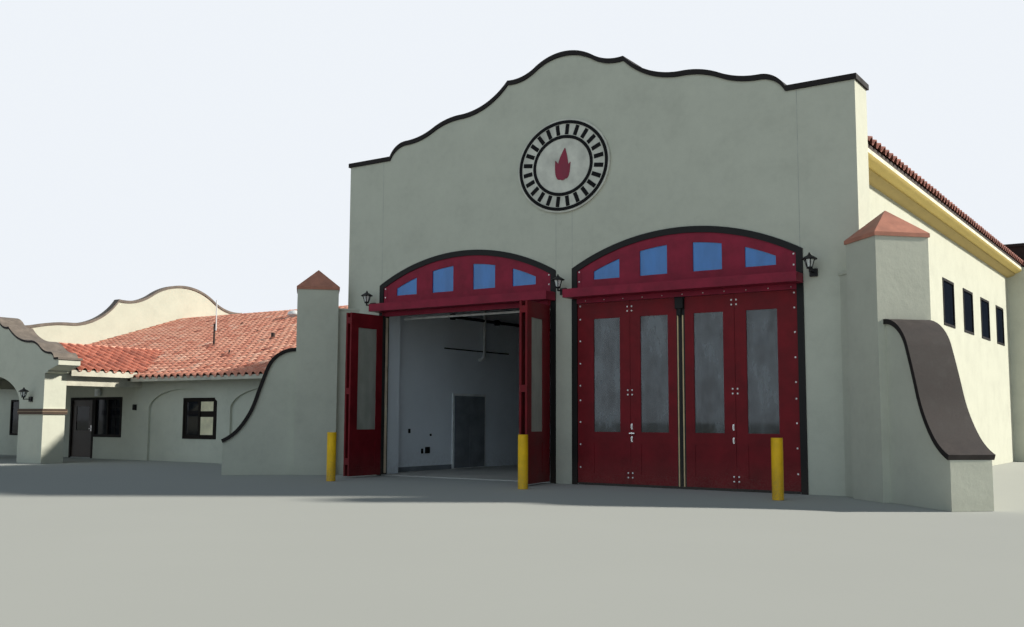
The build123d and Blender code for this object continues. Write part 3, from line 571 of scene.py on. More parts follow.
def ridge_caps(name, start, end, material, radius=ridge_radius):
    """A row of half-round caps, each lapped over the next."""
    start = Vector(start)
    run = Vector(end) - start
    count = int(run.length / ridge_step)
    step = run / count
    side = step.cross(Vector((0, 0, 1))).normalized()
    rise = side.cross(step).normalized()
    rings = ((0.0, radius), (cap_reach, radius * cap_narrowing), (0.0, radius - cap_thick))
    verts = []
    faces = []
    tints = []
    for index in range(count):
        tint = min(1.0, max(0.0, rng.gauss(*cap_shades)))
        faces += curved_faces(len(verts), cap_samples)
        for share, r in rings:
            middle = start + step * index + step * share
            for k in range(cap_samples):
                angle = cap_arc * k / (cap_samples - 1) - cap_dip
                verts.append(middle + side * (r * math.cos(angle)) + rise * (r * math.sin(angle)))
                tints.append(tint)
    tinted_piece(name, verts, faces, tints, material)


def slope_up(run_axis, slope):
    """Direction up a slope that rises along a level direction."""
    direction = Vector(run_axis).normalized()
    return (direction + Vector((0, 0, slope))).normalized()


def everywhere(place):
    """Whether there is a tile at a place: always, on a slope without a gap."""
    return True


def bay_tiles(material):
    """Tiles and ridge of the roof over the engine bays."""
    y0 = wall_back_y
    count = int((bay_back_y - y0) / tile_width)
    length = bay_eave_x * math.sqrt(1 + bay_roof_slope ** 2) + tile_overhang
    rows = int(length / tile_length)
    for side, name in ((1, "bay_tiles_right"), (-1, "bay_tiles_left")):
        up = slope_up((-side, 0, 0), bay_roof_slope)
        origin = Vector((side * bay_eave_x, y0, bay_roof_top)) - up * tile_overhang
        slope = (origin, (0, 1, 0), up, count, rows)
        # The bay's lowest rows get painted shade, for the hollow tile ends at the eave
        tile_course(name, slope, everywhere, material, tile_shades, bay_eave_painted_shade, bay_painted_shade_rows)
    ridge_z = bay_roof_top + bay_roof_slope * bay_eave_x + ridge_lift
    ridge_caps("bay_ridge_caps", (0, y0, ridge_z), (0, bay_back_y, ridge_z), material)


def wing_roof_z(y):
    """Height of the wing's front roof slope at a place back from the eave."""
    return wing_roof_top + wing_roof_slope * (y - wing_eave_y)


def clear_of_portico(place):
    """Whether a tile of the wing's front slope shows beside the portico's roof."""
    across = abs(place.x - portico_x)
    roof_z = portico_roof_top + portico_roof_slope * (portico_roof_half - across)
    return not (across < portico_roof_half and place.z < roof_z - 0.02)


def clear_of_rear_wall(place):
    """Whether a tile of the wing's rear slope is clear of the end of the bays' rear wall."""
    low_y, high_y = rear_wall_y
    return place.x < rear_wall_end_x or place.y < low_y or place.y > high_y


def clear_of_wing(place):
    """Whether a tile of the portico's roof lies above the wing's front slope."""
    return place.z > wing_roof_z(place.y) - 0.05


def wing_tiles(material):
    """Tiles and ridge of the wing, and of the portico's roof."""
    right_x = -bay_side_x
    count = int((right_x - wing_left_x) / tile_width)
    run = wing_ridge_y - wing_eave_y
    rows = int((run * math.sqrt(1 + wing_roof_slope ** 2) + tile_overhang) / tile_length)
    for name, inward, eave_y, keep in (
        ("wing_tiles_front", 1, wing_eave_y, clear_of_portico),
        ("wing_tiles_rear", -1, 2 * wing_ridge_y - wing_eave_y, clear_of_rear_wall),
    ):
        up = slope_up((0, inward, 0), wing_roof_slope)
        origin = Vector((wing_left_x + tile_side_gap, eave_y, wing_roof_top)) - up * tile_overhang
        tile_course(name, (origin, (1, 0, 0), up, count, rows), keep, material)
    ridge_z = wing_roof_z(wing_ridge_y) + ridge_lift
    start = (wing_left_x, wing_ridge_y, ridge_z)
    ridge_caps("wing_ridge_caps", start, (right_x, wing_ridge_y, ridge_z), material)
    portico_tiles(material)


def portico_tiles(material):
    """Tiles and ridge of the portico's roof, down to where it meets the wing."""
    peak_z = portico_roof_top + portico_roof_slope * portico_roof_half
    reach_y = wing_eave_y + (peak_z - wing_roof_top) / wing_roof_slope
    count = int((reach_y - portico_back_y) / tile_width) + 1
    rows = int(portico_roof_half * math.sqrt(1 + portico_roof_slope ** 2) / tile_length)
    for side, name in ((1, "portico_tiles_right"), (-1, "portico_tiles_left")):
        up = slope_up((-side, 0, 0), portico_roof_slope)
        low = (portico_x + side * portico_roof_half, portico_back_y + tile_side_gap, portico_roof_top)
        slope = (Vector(low) - up * tile_overhang, (0, 1, 0), up, count, rows)
        # Darker clay on the portico's slopes: painted shade on the barrel sides away from the sun
        tile_course(name, slope, clear_of_wing, material, portico_painted_shade_tints, portico_eave_painted_shade_tints)
    top = peak_z + ridge_lift
    start = (portico_x, portico_back_y, top)
    ridge_caps("portico_ridge_caps", start, (portico_x, reach_y, top), material, portico_ridge_radius)


def bolts(bm, places, radius=0.016):
    """Round-headed bolts on a front face, each a low dome on a washer."""
    washer = radius * 1.25
    profile = ((washer, 0.0), (washer, 0.003), (radius, 0.004), (radius * 0.75, 0.010), (0.0, 0.013))
    for place in places:
        add_lathe(bm, profile, place, 10, "Y")


def camera_matrix():
    """The camera's place and turn in the scene."""
    level = math.cos(camera_pitch)
    across = math.cos(camera_yaw)
    away = math.sin(camera_yaw)
    right = Vector((across, away, 0))
    forward = Vector((-away * level, across * level, math.sin(camera_pitch)))
    up = right.cross(forward)
    c = math.cos(camera_roll)
    s = math.sin(camera_roll)
    turned_right = c * right + s * up
    turned_up = -s * right + c * up
    matrix = Matrix((turned_right, turned_up, -forward)).transposed().to_4x4()
    matrix.translation = Vector(camera_place)
    return matrix


def add_camera():
    """The camera at the photograph's viewpoint."""
    data = bpy.data.cameras.new("camera")
    data.sensor_width = 36.0
    data.lens = camera_lens
    data.clip_end = 2000.0
    camera = linked("camera", data)
    camera.matrix_world = camera_matrix()
    bpy.context.scene.camera = camera


def add_lamp(name, towards, level, softness, colour):
    """A lamp as far away as the sun, which shines from one side."""
    data = bpy.data.lights.new(name, "SUN")
    data.energy = level * math.pi
    data.angle = softness
    data.color = colour
    lamp = linked(name, data)
    lamp.rotation_mode = "QUATERNION"
    lamp.rotation_quaternion = Vector(towards).to_track_quat("Z", "Y")


def add_lights():
    """A soft sun, a wide fill from the front and an even sky, with a pale backdrop."""
    add_lamp("sun", sun_towards, sun_level, sun_softness, sun_colour)
    add_lamp("fill", fill_towards, fill_level, fill_softness, fill_colour)
    world = bpy.data.worlds.new("sky")
    bpy.context.scene.world = world
    world.use_nodes = True
    tree = world.node_tree
    sky = tree.nodes["Background"]
    pale = tree.nodes.new("ShaderNodeBackground")
    for shader, colour, level in ((sky, sky_colour, sky_level), (pale, backdrop_colour, 1.0)):
        shader.inputs["Color"].default_value = (*colour, 1.0)
        shader.inputs["Strength"].default_value = level
    path = tree.nodes.new("ShaderNodeLightPath")
    seen = combined(tree, "MAXIMUM", path.outputs["Is Camera Ray"], path.outputs["Is Glossy Ray"])
    seen = combined(tree, "MAXIMUM", seen, path.outputs["Is Transmission Ray"])
    blend = tree.nodes.new("ShaderNodeMixShader")
    tree.links.new(seen, blend.inputs["Fac"])
    tree.links.new(sky.outputs[0], blend.inputs[1])
    tree.links.new(pale.outputs[0], blend.inputs[2])
    tree.links.new(blend.outputs[0], tree.nodes["World Output"].inputs["Surface"])
    bpy.context.scene.view_settings.view_transform = "Standard"


def add_floor():
    """The plain pale floor, just under the building."""
    material, tree, shader, place = tree_of("studio_floor")
    cloud = noise(tree, place, 0.3, 3.0, 0.5)
    base = ramp(tree, cloud, ((0.3, shade(floor_colour, 0.98)), (0.7, floor_colour)))
    tree.links.new(base, shader.inputs["Base Color"])
    shader.inputs["Roughness"].default_value = 0.9
    shader.inputs["Specular IOR Level"].default_value = 0.0
    mesh = bpy.data.meshes.new("studio_floor")
    h = floor_half
    corners = [(x, y, -floor_drop) for x, y in ((-h, -h), (h, -h), (h, h), (-h, h))]
    mesh.from_pydata(corners, [], [(0, 1, 2, 3)])
    mesh.materials.append(material)
    floor = linked("studio_floor", mesh)


def set_material(node, material):
    """Give a CAD node one material."""
    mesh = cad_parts[node].data
    mesh.materials.clear()
    mesh.materials.append(material)


def add_second(node, material, picks):
    """Give some faces of a CAD node a second material."""
    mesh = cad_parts[node].data
    mesh.materials.append(material)
    index = len(mesh.materials) - 1
    for polygon in mesh.polygons:
        if picks(polygon):
            polygon.material_index = index


def first_finishes(kit):
    """The one material, or the main one, of every CAD node."""
    table = {
        "stucco": (
            "front_wall_piers", "front_parapet", "rear_wall_piers", "rear_parapet", "bay_wall_right",
            "bay_wall_left", "corner_towers", "link_walls", "buttress_walls", "wing_front_walls",
            "wing_wall_over_entry", "wing_wall_rear", "wing_wall_end", "wing_gable_wall", "portico_piers",
            "portico_gable",
        ),
        "coping_black": ("front_coping", "rear_coping", "buttress_copings"),
        "coping_brown": ("wing_gable_coping", "portico_coping"),
        "red": ("front_transom_panels", "door_headers"),
        "leaf_red": ("left_bay_doors", "right_bay_doors", "rear_bay_doors"),
        "entry": ("entry_door",),
        "sign_white": ("front_sign",),
        "glass": ("front_bay_glass", "rear_bay_glass"),
        "window_glass": ("window_glass", "entry_door_glass"),
        "trim": ("bay_trims",),
        "frame": ("window_frames", "entry_frame"),
        "cornice": ("bay_cornices",),
        "membrane": ("bay_roof", "wing_roof", "portico_roof"),
        "concrete": ("bay_floor", "wing_floor"),
        "cap": ("tower_caps",),
        "fascia": ("wing_fascias", "portico_ceiling"),
        "pipe": ("wing_roof_pipes",),
        "rubber": ("door_meeting_strips",),
        "lantern": ("lantern_frames",),
        "lamp_glass": ("lantern_glass",),
        "yellow": ("door_bollards",),
    }
    for key, names in table.items():
        for name in names:
            set_material(name, kit[key])


def second_finishes(kit):
    """Second materials, where a solid has two finishes."""
    table = (
        ("rear_parapet", "lined", lambda face: face.normal.y < -square_on),
        ("front_parapet", "lined", lambda face: face.normal.y > square_on),
        ("bay_cornices", "fascia_sun", is_cornice_fascia),
        # The cornice's lowest step gets a darker ochre: painted shade under the cornice
        ("bay_cornices", "cornice_painted_shade", is_cornice_foot),
        ("window_glass", "side_glass", lambda face: face.center.x > bay_side_x - 0.2),
        ("portico_piers", "band", is_band),
        ("wing_roof_pipes", "vent", is_aerial),
        ("buttress_copings", "buttress_top", is_buttress_top),
        ("portico_coping", "coping_black", lambda face: face.normal.y < -0.5),
        ("front_sign", "sign_black", lambda face: face.center.y < sign_face_y - 0.004),
        ("front_bay_glass", "painted_sky_reflection", is_transom_glass),
        ("rear_bay_glass", "painted_sky_reflection", is_transom_glass),
        ("front_bay_glass", "open_glass", is_open_leaf_glass),
        ("front_wall_piers", "inside", is_jamb),
        ("bay_wall_left", "inside", lambda face: face.normal.x > square_on),
        ("bay_wall_right", "inside", lambda face: face.normal.x < -square_on),
    )
    for node, key, picks in table:
        add_second(node, kit[key], picks)


def is_cornice_fascia(face):
    """Whether a face of a cornice is its pale upright board under the tiles."""
    return abs(face.normal.x) > square_on and abs(face.center.x) > bay_eave_x - 0.01


def is_cornice_foot(face):
    """Whether a face of a cornice is on its lowest step, whose darker ochre is painted shade."""
    return face.center.z < cornice_foot_z and face.normal.z < 0.5


def is_band(face):
    """Whether a face of a portico pier is on the upright side of its painted band."""
    return abs(face.center.z - band_z) < band_half + 0.001 and abs(face.normal.z) < 0.5


def is_transom_glass(face):
    """Whether a face of the bays' panes is over the doors, where a painted reflection of the sky makes the
    glass blue.
    """
    return face.center.z > transom_foot_z


def is_open_leaf_glass(face):
    """Whether a face of the front panes is in the leaves that stand open."""
    return face.center.x < 0 and face.center.z < transom_foot_z


def is_jamb(face):
    """Whether a face of the front piers is on a door jamb or inside the bays."""
    between = abs(face.center.x) < bay_x + bay_width / 2 + 0.01
    return abs(face.normal.x) > square_on and between or face.normal.y > square_on


def is_aerial(face):
    """Whether a face belongs to the aerial beside the mast."""
    return abs(face.center.x - aerial_x) < 0.03 and abs(face.center.y - mast_y) < 0.03


def is_buttress_top(face):
    """Whether a face of a buttress coping is on its broad top, its underside or its end."""
    across = abs(abs(face.normal.x) - abs(face.normal.y))
    outward = face.normal.x * face.center.x > 0 and face.normal.y < 0
    return abs(face.normal.z) > 0.02 or across < 0.02 and outward


def add_tongue(bm, foot, top, half_width, near_y):
    """One pointed tongue of the flame, rounded at its foot and bent to its tip."""
    steps = 28
    back_ring = []
    face_ring = []
    for index in range(steps):
        angle = 2 * math.pi * index / steps
        rise = (1 - math.cos(angle)) / 2
        bend = rise ** 2.2
        x = foot[0] + (top[0] - foot[0]) * bend + half_width * math.sin(angle) * (1 - rise) ** 0.45
        z = foot[1] + (top[1] - foot[1]) * rise
        back_ring.append(bm.verts.new((x, sign_face_y, z)))
        face_ring.append(bm.verts.new((x, near_y, z)))
    for index in range(steps):
        after = (index + 1) % steps
        bm.faces.new((back_ring[index], back_ring[after], face_ring[after], face_ring[index]))
    bm.faces.new(face_ring)


def add_sign_marks(kit):
    """A plain flame in the middle of the sign, and short bars between its rings."""
    low_z = sign_z - 0.36
    tongues = (
        ((0.0, low_z), (0.07, low_z + 0.78), 0.19, 0.02),
        ((-0.09, low_z + 0.02), (-0.2, low_z + 0.5), 0.125, 0.018),
        ((0.09, low_z + 0.03), (0.22, low_z + 0.42), 0.11, 0.016),
    )
    bm = bmesh.new()
    for foot, top, half_width, proud in tongues:
        add_tongue(bm, foot, top, half_width, sign_face_y - proud)
    bmesh.ops.recalc_face_normals(bm, faces=bm.faces)
    from_bmesh("sign_flame", bm, kit["sign_red"])
    bm = bmesh.new()
    for index in range(sign_bars):
        angle = 2 * math.pi * (index + 0.5) / sign_bars
        made = add_box(bm, (-0.05, -0.012, -0.125), (0.05, 0.0, 0.125), 0.003)
        x = sign_bar_reach_x * math.sin(angle)
        z = sign_z + sign_bar_reach_z * math.cos(angle)
        matrix = Matrix.Translation((x, sign_face_y, z)) @ Matrix.Rotation(angle, 4, "Y")
        bmesh.ops.transform(bm, matrix=matrix, verts=made)
    from_bmesh("sign_bars", bm, kit["sign_black"])


def add_wall_joints(kit):
    """Narrow stucco control joints on the tall front wall."""
    half = 0.007
    proud = front_y - 0.002
    boxes = []
    for x, z0, z1 in ((5.7, 5.05, 8.4), (-5.7, 5.05, 8.4), (0.225, 5.06, 6.44), (-0.225, 5.06, 6.44)):
        boxes.append(((x - half, proud, z0), (x + half, front_y + sunk, z1), 0.0008))
    box_piece("stucco_joints", boxes, kit["joint"])


def add_door_bolts(kit):
    """Hinge, edge, track and plate bolts of the front doors."""
    spots = []
    for x in (1.73, 4.23):
        for z in (4.0, 2.1, 0.25):
            spots += [(x + dx, front_y, z + dz) for dx in (-0.055, 0.055) for dz in (-0.05, 0.05)]
    for x in (0.44, 5.55):
        spots += [(x, front_y, z) for z in (4.12, 3.81, 3.3, 2.78, 2.27, 1.93, 1.43, 0.92, 0.4)]
    bm = bmesh.new()
    bolts(bm, spots)
    track = [(0.6 + 0.49 * index, front_y - 0.03, 4.24) for index in range(11)]
    bolts(bm, track, 0.009)
    for middle in (-bay_x, bay_x):
        ends = [(middle + side * plate_reach, front_y - 0.008, z) for side in (-1, 1) for z in (4.7, 4.93)]
        bolts(bm, ends)
    # The bolts' pale paint is raised near white: painted light on heads that stand in shade
    from_bmesh("door_bolts", bm, kit["pale_bolt_painted_light"], smooth=True)


def add_door_pulls(kit):
    """Two pulls on each of the two middle leaves, and a latch between the left ones."""
    y = front_y
    boxes = []
    for x in (1.775, 4.185):
        for z in (1.0, 1.28):
            boxes.append(((x - 0.018, y - 0.012, z - 0.01), (x + 0.018, y + sunk, z + 0.12), 0.004))
            boxes.append(((x - 0.009, y - 0.045, z + 0.015), (x + 0.009, y - 0.033, z + 0.1), 0.003))
            for low in (z + 0.02, z + 0.085):
                boxes.append(((x - 0.007, y - 0.036, low), (x + 0.007, y - 0.01, low + 0.012), 0.002))
    boxes.append(((1.72, y - 0.06, 1.17), (1.86, y - 0.03, 1.2), 0.006))
    boxes.append(((1.765, y - 0.035, 1.16), (1.79, y + sunk, 1.21), 0.003))
    box_piece("door_pulls", boxes, kit["chrome"])


def add_door_seals(kit):
    """Seals on the meeting leaves, on the open bay's jamb and under the closed leaves."""
    y = front_y
    seals = [((x - 0.014, y - 0.012, 0.05), (x + 0.014, y + sunk, 3.78), 0.003) for x in (2.925, 3.045)]
    box_piece("door_seals", seals, kit["tan"])
    jamb = -bay_x - door_half
    # The jamb seal is a paler copy of the tan seal: its own tan with painted light, as the strip stands in
    # shade
    strip = ((jamb - sunk, y + 0.085, 0.06), (jamb + 0.01, y + 0.175, 4.17), 0.003)
    box_piece("jamb_seal", [strip], kit["jamb_tan_painted_light"])
    left, right = bay_x - door_half + 0.02, bay_x + door_half - 0.02
    sweep = ((left, y - 0.008, 0.004), (right, y + sunk, 0.055), 0.002)
    box_piece("door_bottom_seal", [sweep], kit["rubber"])


def add_door_heads(kit):
    """End plates of the transoms, and the closer at the head of the closed doors."""
    y = front_y
    ends = [middle + side * plate_reach for middle in (-bay_x, bay_x) for side in (-1, 1)]
    plates = [((x - 0.05, y - 0.009, 4.51), (x + 0.05, y + sunk, 4.99), 0.003) for x in ends]
    box_piece("transom_end_plates", plates, kit["red"])
    closer = (
        ((2.88, y - 0.075, 3.92), (3.08, y + sunk, 4.18), 0.012),
        ((2.94, y - 0.06, 3.76), (3.02, y - 0.005, 3.93), 0.01),
        ((2.86, y - 0.05, 4.14), (3.1, y + sunk, 4.185), 0.006),
    )
    box_piece("door_head_closer", closer, kit["trim"])


def add_lantern_details(kit):
    """Hat, finial, glazing bars and foot of each wall lantern."""
    hat = ((0.15, -0.012), (0.16, -0.004), (0.16, 0.006), (0.1, 0.045), (0.03, lantern_cap_height))
    finial = ((0.03, 0.0), (0.034, 0.01), (0.016, 0.018), (0.02, 0.032), (0.01, 0.045), (0.0, 0.055))
    foot = ((0.06, -0.03), (0.066, -0.01), (0.05, 0.0), (0.03, 0.008))
    spots = [(x, front_y, 0.0) for x in (-5.98, 0.0, 5.98)]
    for side in (1, -1):
        spots.append((portico_x + side * 2.59, portico_front_y, -portico_lantern_drop))
    bm = bmesh.new()
    for x, y, drop in spots:
        y -= lantern_reach
        add_lathe(bm, hat, (x, y, lantern_cap_z + drop), 12)
        for index in range(6):
            angle = 2 * math.pi * index / 6
            out = Vector((math.cos(angle), math.sin(angle), 0))
            low = Vector((x, y, lantern_glass_z - 0.005 + drop)) + out * 0.057
            high = Vector((x, y, lantern_cap_z + 0.005 + drop)) + out * 0.107
            add_bar(bm, low, high, 0.009)
        add_lathe(bm, finial, (x, y, lantern_cap_z + lantern_cap_height + drop), 12)
        add_lathe(bm, foot, (x, y, lantern_glass_z - 0.01 + drop), 12)
    from_bmesh("lantern_details", bm, kit["lantern"])


def add_window_bars(kit):
    """Muntins of the window by the entry, the wing window's sashes and a wall box."""
    y = wing_wall_y
    near, far = y + 0.035, y + 0.065
    bars = [((-20.58, near, z - 0.012), (-19.9, far, z + 0.012), 0.003) for z in (1.15, 1.5, 1.85)]
    bars.append(((-20.25, near, 0.88), (-20.226, far, 2.12), 0.003))
    box_piece("window_muntins", bars, kit["frame"])
    add_sash(kit, y + recess_depth)
    wall_box = (
        ((-19.13, y - 0.07, 1.75), (-18.97, y + sunk, 1.95), 0.01),
        ((-19.11, y - 0.085, 1.78), (-18.99, y - 0.065, 1.92), 0.006),
    )
    box_piece("wall_box", wall_box, kit["trim"])


def add_sash(kit, y0):
    """The broad dark sashes of the wing's window, and the blinds in its right half."""
    left, middle, right = wing_window_x - 0.78, wing_window_x - 0.03, wing_window_x + 0.78
    low, high = 0.85, 2.09
    stiles = ((left, left + 0.09), (middle - 0.07, middle + 0.01), (right - 0.11, right))
    ends = ((low, low + 0.07), (high - 0.06, high))
    rails = [(middle, right, z0, z1) for z0, z1 in (*ends, (1.515, 1.71))]
    rails += [(left, middle, z0, z1) for z0, z1 in ends]
    bars = [((x0, y0 + 0.002, low), (x1, y0 + 0.03, high), 0.004) for x0, x1 in stiles]
    bars += [((x0, y0 + 0.004, z0), (x1, y0 + 0.028, z1), 0.004) for x0, x1, z0, z1 in rails]
    box_piece("wing_window_sashes", bars, kit["frame"])
    heights = ((low + 0.06, 1.52), (1.7, high - 0.05))
    blinds = [((middle, y0 + 0.008, z0), (right - 0.1, y0 + 0.018, z1), 0.002) for z0, z1 in heights]
    box_piece("wing_window_blinds", blinds, kit["blind"])


def add_entry_hardware(kit):
    """Lever handle and its plate on the entry door."""
    x = -21.64
    y = wing_wall_y + 0.03
    boxes = (
        ((x - 0.03, y - 0.008, 0.98), (x + 0.03, y + 0.002, 1.2), 0.004),
        ((x - 0.1, y - 0.045, 1.06), (x + 0.012, y - 0.03, 1.085), 0.005),
        ((x - 0.01, y - 0.035, 1.06), (x + 0.012, y + sunk, 1.085), 0.003),
    )
    box_piece("entry_handle", boxes, kit["chrome"], "door")


def add_roof_details(kit):
    """Flashings round the wing's roof pipes, and a dome vent."""
    bm = bmesh.new()
    pipes = (
        (-19.3, mast_y, 0.14),
        (-16.87, 6.135, 0.2),
        (-16.65, 3.865, 0.12),
        (-19.28, 7.555, 0.12),
        (-22.46, 9.535, 0.12),
    )
    for x, y, radius in pipes:
        profile = ((radius, 0.05), (radius * 0.94, 0.085), (radius * 0.55, 0.13), (radius * 0.4, 0.17))
        add_lathe(bm, profile, (x, y, wing_roof_z(y)), 16)
    from_bmesh("pipe_flashings", bm, kit["flashing"], smooth=True)
    bm = bmesh.new()
    profile = ((0.2, 0.03), (0.2, 0.15), (0.3, 0.17), (0.3, 0.23), (0.26, 0.31), (0.16, 0.37), (0.0, 0.39))
    x, y = -20.23, 10.465
    add_lathe(bm, profile, (x, y, wing_roof_z(y)), 24)
    from_bmesh("roof_dome_vent", bm, kit["vent"], smooth=True)


def add_bay_fittings(kit):
    """Rails, outlets, a skirting and a head board inside the left bay."""
    wall = bay_inner_x
    back = wall - sunk
    bm = bmesh.new()
    add_tube(bm, [(wall + 0.09, 3.1, 4.5), (wall + 0.09, 9.5, 4.5)], 0.045)
    add_tube(bm, [(wall + 0.06, 2.73, 3.55), (wall + 0.06, 6.06, 3.55)], 0.018)
    for y in (3.1, 5.4, 7.7):
        add_box(bm, (back, y - 0.06, 4.42), (wall + 0.13, y + 0.06, 4.58), 0.01)
    outlets = (
        (1.22, 1.147, 0.04, 0.06),
        (2.18, 1.03, 0.03, 0.03),
        (1.8, 0.58, 0.04, 0.07),
        (2.04, 0.6, 0.1, 0.09),
    )
    for y, z, half_y, half_z in outlets:
        add_box(bm, (back, y - half_y, z - half_z), (wall + 0.03, y + half_y, z + half_z), 0.006)
    from_bmesh("bay_wall_fittings", bm, kit["trim"])
    skirting = ((back, 0.43, 0.031), (wall + 0.015, 3.18, 0.16), 0.004)
    box_piece("bay_skirting", [skirting], kit["inner_door"])
    left = -bay_x - door_half + 0.04
    right = -bay_x + door_half - 0.04
    board = ((left, 0.37, 4.165), (right, 0.42, 4.215), 0.004)
    box_piece("bay_head_board", [board], kit["duct"])


def add_bay_inner_door(kit):
    """The double door on the left bay's inner wall, and the duct beside it."""
    wall = bay_inner_x
    x = wall + 0.1
    bm = bmesh.new()
    add_tube(bm, [(x, 4.68, 7.0), (x, 4.68, 3.45), (x, 4.62, 3.34), (x, 4.42, 3.27)], 0.052)
    from_bmesh("bay_duct", bm, kit["duct"], smooth=True)
    surround = ((wall - sunk, 3.2, 0.031), (wall + 0.03, 4.86, 2.24), 0.004)
    box_piece("bay_inner_door_frame", [surround], kit["duct"])
    leaves = [
        ((wall + 0.02, y0, 0.05), (wall + 0.045, y1, 2.17), 0.004)
        for y0, y1 in ((3.27, 4.025), (4.035, 4.79))
    ]
    box_piece("bay_inner_door", leaves, kit["inner_door"])


def add_portico_light(kit):
    """The pale cylinder light on the wall over the window beside the entry."""
    bm = bmesh.new()
    profile = ((0.1, 0.0), (0.105, 0.01), (0.105, 0.25), (0.09, 0.265))
    add_lathe(bm, profile, (-21.1, wing_wall_y - 0.13, 2.26), 20)
    add_box(bm, (-21.15, wing_wall_y - 0.05, 2.33), (-21.05, wing_wall_y + sunk, 2.45), 0.005)
    from_bmesh("portico_light", bm, kit["duct"])


def add_band_fillets(kit):
    """The pale line that splits the painted band of each portico pier."""
    proud = 0.058
    boxes = []
    for side in (1, -1):
        near = portico_x + side * 1.895
        far = portico_x + side * (3.28 + proud)
        low = (min(near, far), portico_front_y - proud, band_z - 0.012)
        high = (max(near, far), portico_back_y + proud, band_z + 0.012)
        boxes.append((low, high, 0.004))
    box_piece("portico_band_lines", boxes, kit["band_line"])


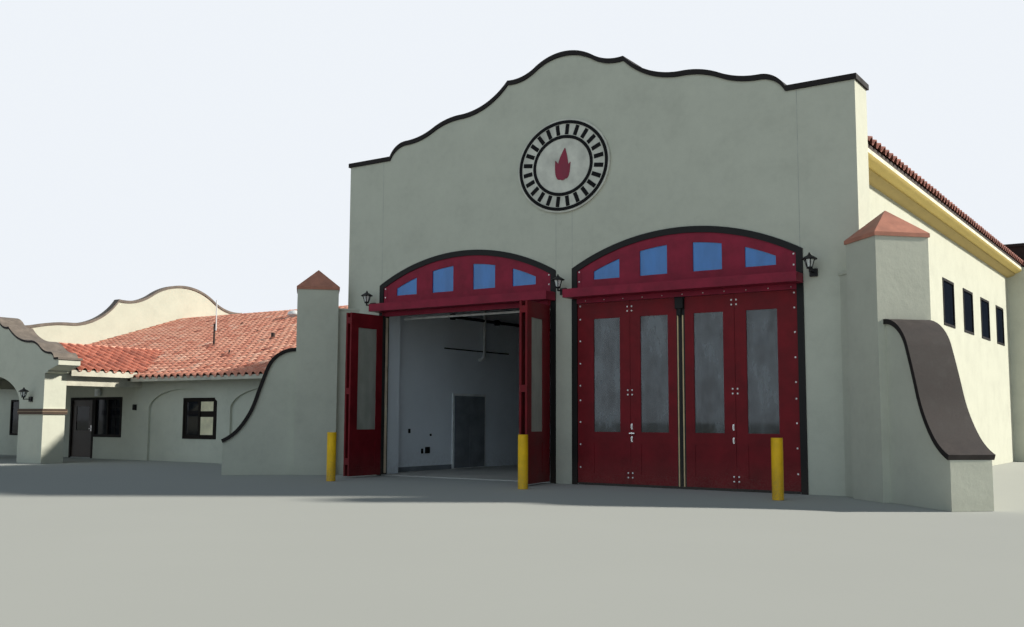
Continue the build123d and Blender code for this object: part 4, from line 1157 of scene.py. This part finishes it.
def make_kit():
    """Every material by a short name."""
    wall = (0.54, 0.545, 0.46)
    return {
        "stucco": stucco("stucco_wall", wall),
        "joint": painted("stucco_joint", (0.42, 0.43, 0.38), 0.7),
        "inside": painted("inside_wall", (0.85, 0.9, 0.95), 0.6, 0.2, 0.2, 0.5, 0.25),
        "inner_door": painted("inner_door_grey", (0.2, 0.22, 0.24), 0.5, 0.2, 0.2),
        "duct": painted("duct_pale", (0.78, 0.8, 0.8), 0.45, 0.1, 0.3),
        "lined": lined_stucco("parapet_back", wall, (0.02, 0.016, 0.015), lining_z),
        "band": painted("band_brown", (0.07, 0.045, 0.032), 0.6, 0.2, 0.2),
        "band_line": painted("band_line_brown", (0.24, 0.18, 0.12), 0.6, 0.1, 0.2),
        "fascia_sun": painted("cornice_fascia", (0.7, 0.68, 0.53), 0.6, 0.1, 0.2),
        "flashing": painted("flashing_brown", (0.2, 0.08, 0.055), 0.6, 0.1, 0.2),
        "coping_black": coated_mortar("coping_black", (0.013, 0.011, 0.011), 0.6),
        "coping_brown": coated_mortar("coping_brown", (0.15, 0.127, 0.11)),
        "buttress_top": coated_mortar("buttress_top", (0.05, 0.042, 0.04), 1.5),
        "red": painted("trim_red", (0.25, 0.022, 0.045), 0.35, 0.25, 0.1),
        "leaf_red": painted("door_red", (0.165, 0.012, 0.017), 0.35, 0.25, 0.1),
        "entry": painted("entry_bronze", (0.035, 0.026, 0.022), 0.35, 0.3),
        "sign_white": painted("sign_white", (0.6, 0.59, 0.52), 0.5, 0.2),
        "sign_black": painted("sign_black", (0.01, 0.01, 0.011), 0.6, 0.1, 0.06),
        "sign_red": painted("sign_red", (0.2, 0.006, 0.03), 0.35, 0.2),
        # The door glass's wide cloudy tone is a painted reflection
        "glass": glazing("door_glass", (0.07, 0.08, 0.088), 0.78, cloud=0.65),
        # Blue glass over the doors: a painted reflection of the sky
        "painted_sky_reflection": glazing("painted_sky_reflection", (0.04, 0.2, 0.54), 0.95, 0.05, 0.35),
        "window_glass": glazing("window_glass", (0.012, 0.014, 0.018), 0.85, 0.04, 0.2),
        "trim": painted("dark_trim", (0.01, 0.01, 0.01), 0.5, 0.2, 0.15),
        "frame": painted("window_frame", (0.01, 0.008, 0.007), 0.5, 0.1, 0.07),
        "blind": painted("window_blind", (0.72, 0.66, 0.45), 0.3, 0.05, 0.4),
        "cornice": stucco("cornice_ochre", (0.68, 0.52, 0.19), 0.5),
        # A darker copy of the cornice's ochre: painted shade for its lowest step
        "cornice_painted_shade": stucco("cornice_ochre_painted_shade", (0.47, 0.355, 0.15), 0.5),
        "open_glass": glazing("open_leaf_glass", (0.42, 0.43, 0.38), 0.6),
        "side_glass": glazing("side_glass", (0.008, 0.011, 0.018), 0.93, 0.05, 0.0),
        "membrane": coated_mortar("roof_membrane", (0.06, 0.045, 0.04)),
        "concrete": concrete("concrete", (0.36, 0.36, 0.34)),
        "cap": painted("cap_terracotta", (0.42, 0.18, 0.125), 0.5, 0.2, 0.2, 3.0),
        "fascia": painted("fascia_pale", (0.5, 0.48, 0.4), 0.55, 0.2),
        "pipe": painted("roof_pipe", (0.05, 0.035, 0.03), 0.5, 0.1, 0.2),
        "vent": metal("vent_white", (0.75, 0.76, 0.76), 0.4, 0.2),
        "rubber": painted("rubber", (0.012, 0.012, 0.012), 0.7, 0.3),
        "tan": painted("seal_tan", (0.62, 0.47, 0.26), 0.6, 0.2),
        # A paler tan than the seals: painted light on the jamb strip, which stands in shade
        "jamb_tan_painted_light": painted("jamb_seal_tan_painted_light", (0.92, 0.74, 0.55), 0.6, 0.1),
        # Pale bolt paint raised near white: painted light on bolt heads in shade
        "pale_bolt_painted_light": painted("bolt_zinc_painted_light", (0.92, 0.92, 0.9), 0.35, 0.0, 0.6),
        "chrome": metal("chrome", (0.6, 0.6, 0.6), 0.2, 0.9),
        "lantern": painted("lantern_black", (0.008, 0.008, 0.009), 0.45, 0.1, 0.2),
        "lamp_glass": lamp_glass("lamp_glass"),
        "yellow": painted("bollard_yellow", (0.86, 0.5, 0.008), 0.4, 0.5),
        "tile": clay("clay_tile"),
    }


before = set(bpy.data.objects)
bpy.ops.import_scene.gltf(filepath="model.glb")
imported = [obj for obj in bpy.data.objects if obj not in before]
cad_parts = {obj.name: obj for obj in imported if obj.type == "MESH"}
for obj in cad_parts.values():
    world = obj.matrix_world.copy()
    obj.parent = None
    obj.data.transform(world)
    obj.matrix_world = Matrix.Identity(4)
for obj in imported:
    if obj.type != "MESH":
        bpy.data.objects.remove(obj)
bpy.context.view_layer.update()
add_camera()
add_lights()
add_floor()
kit = make_kit()
first_finishes(kit)
second_finishes(kit)
bay_tiles(kit["tile"])
wing_tiles(kit["tile"])
add_sign_marks(kit)
add_wall_joints(kit)
add_door_bolts(kit)
add_door_pulls(kit)
add_door_seals(kit)
add_door_heads(kit)
add_lantern_details(kit)
add_window_bars(kit)
add_entry_hardware(kit)
add_roof_details(kit)
add_bay_fittings(kit)
add_bay_inner_door(kit)
add_portico_light(kit)
add_band_fillets(kit)
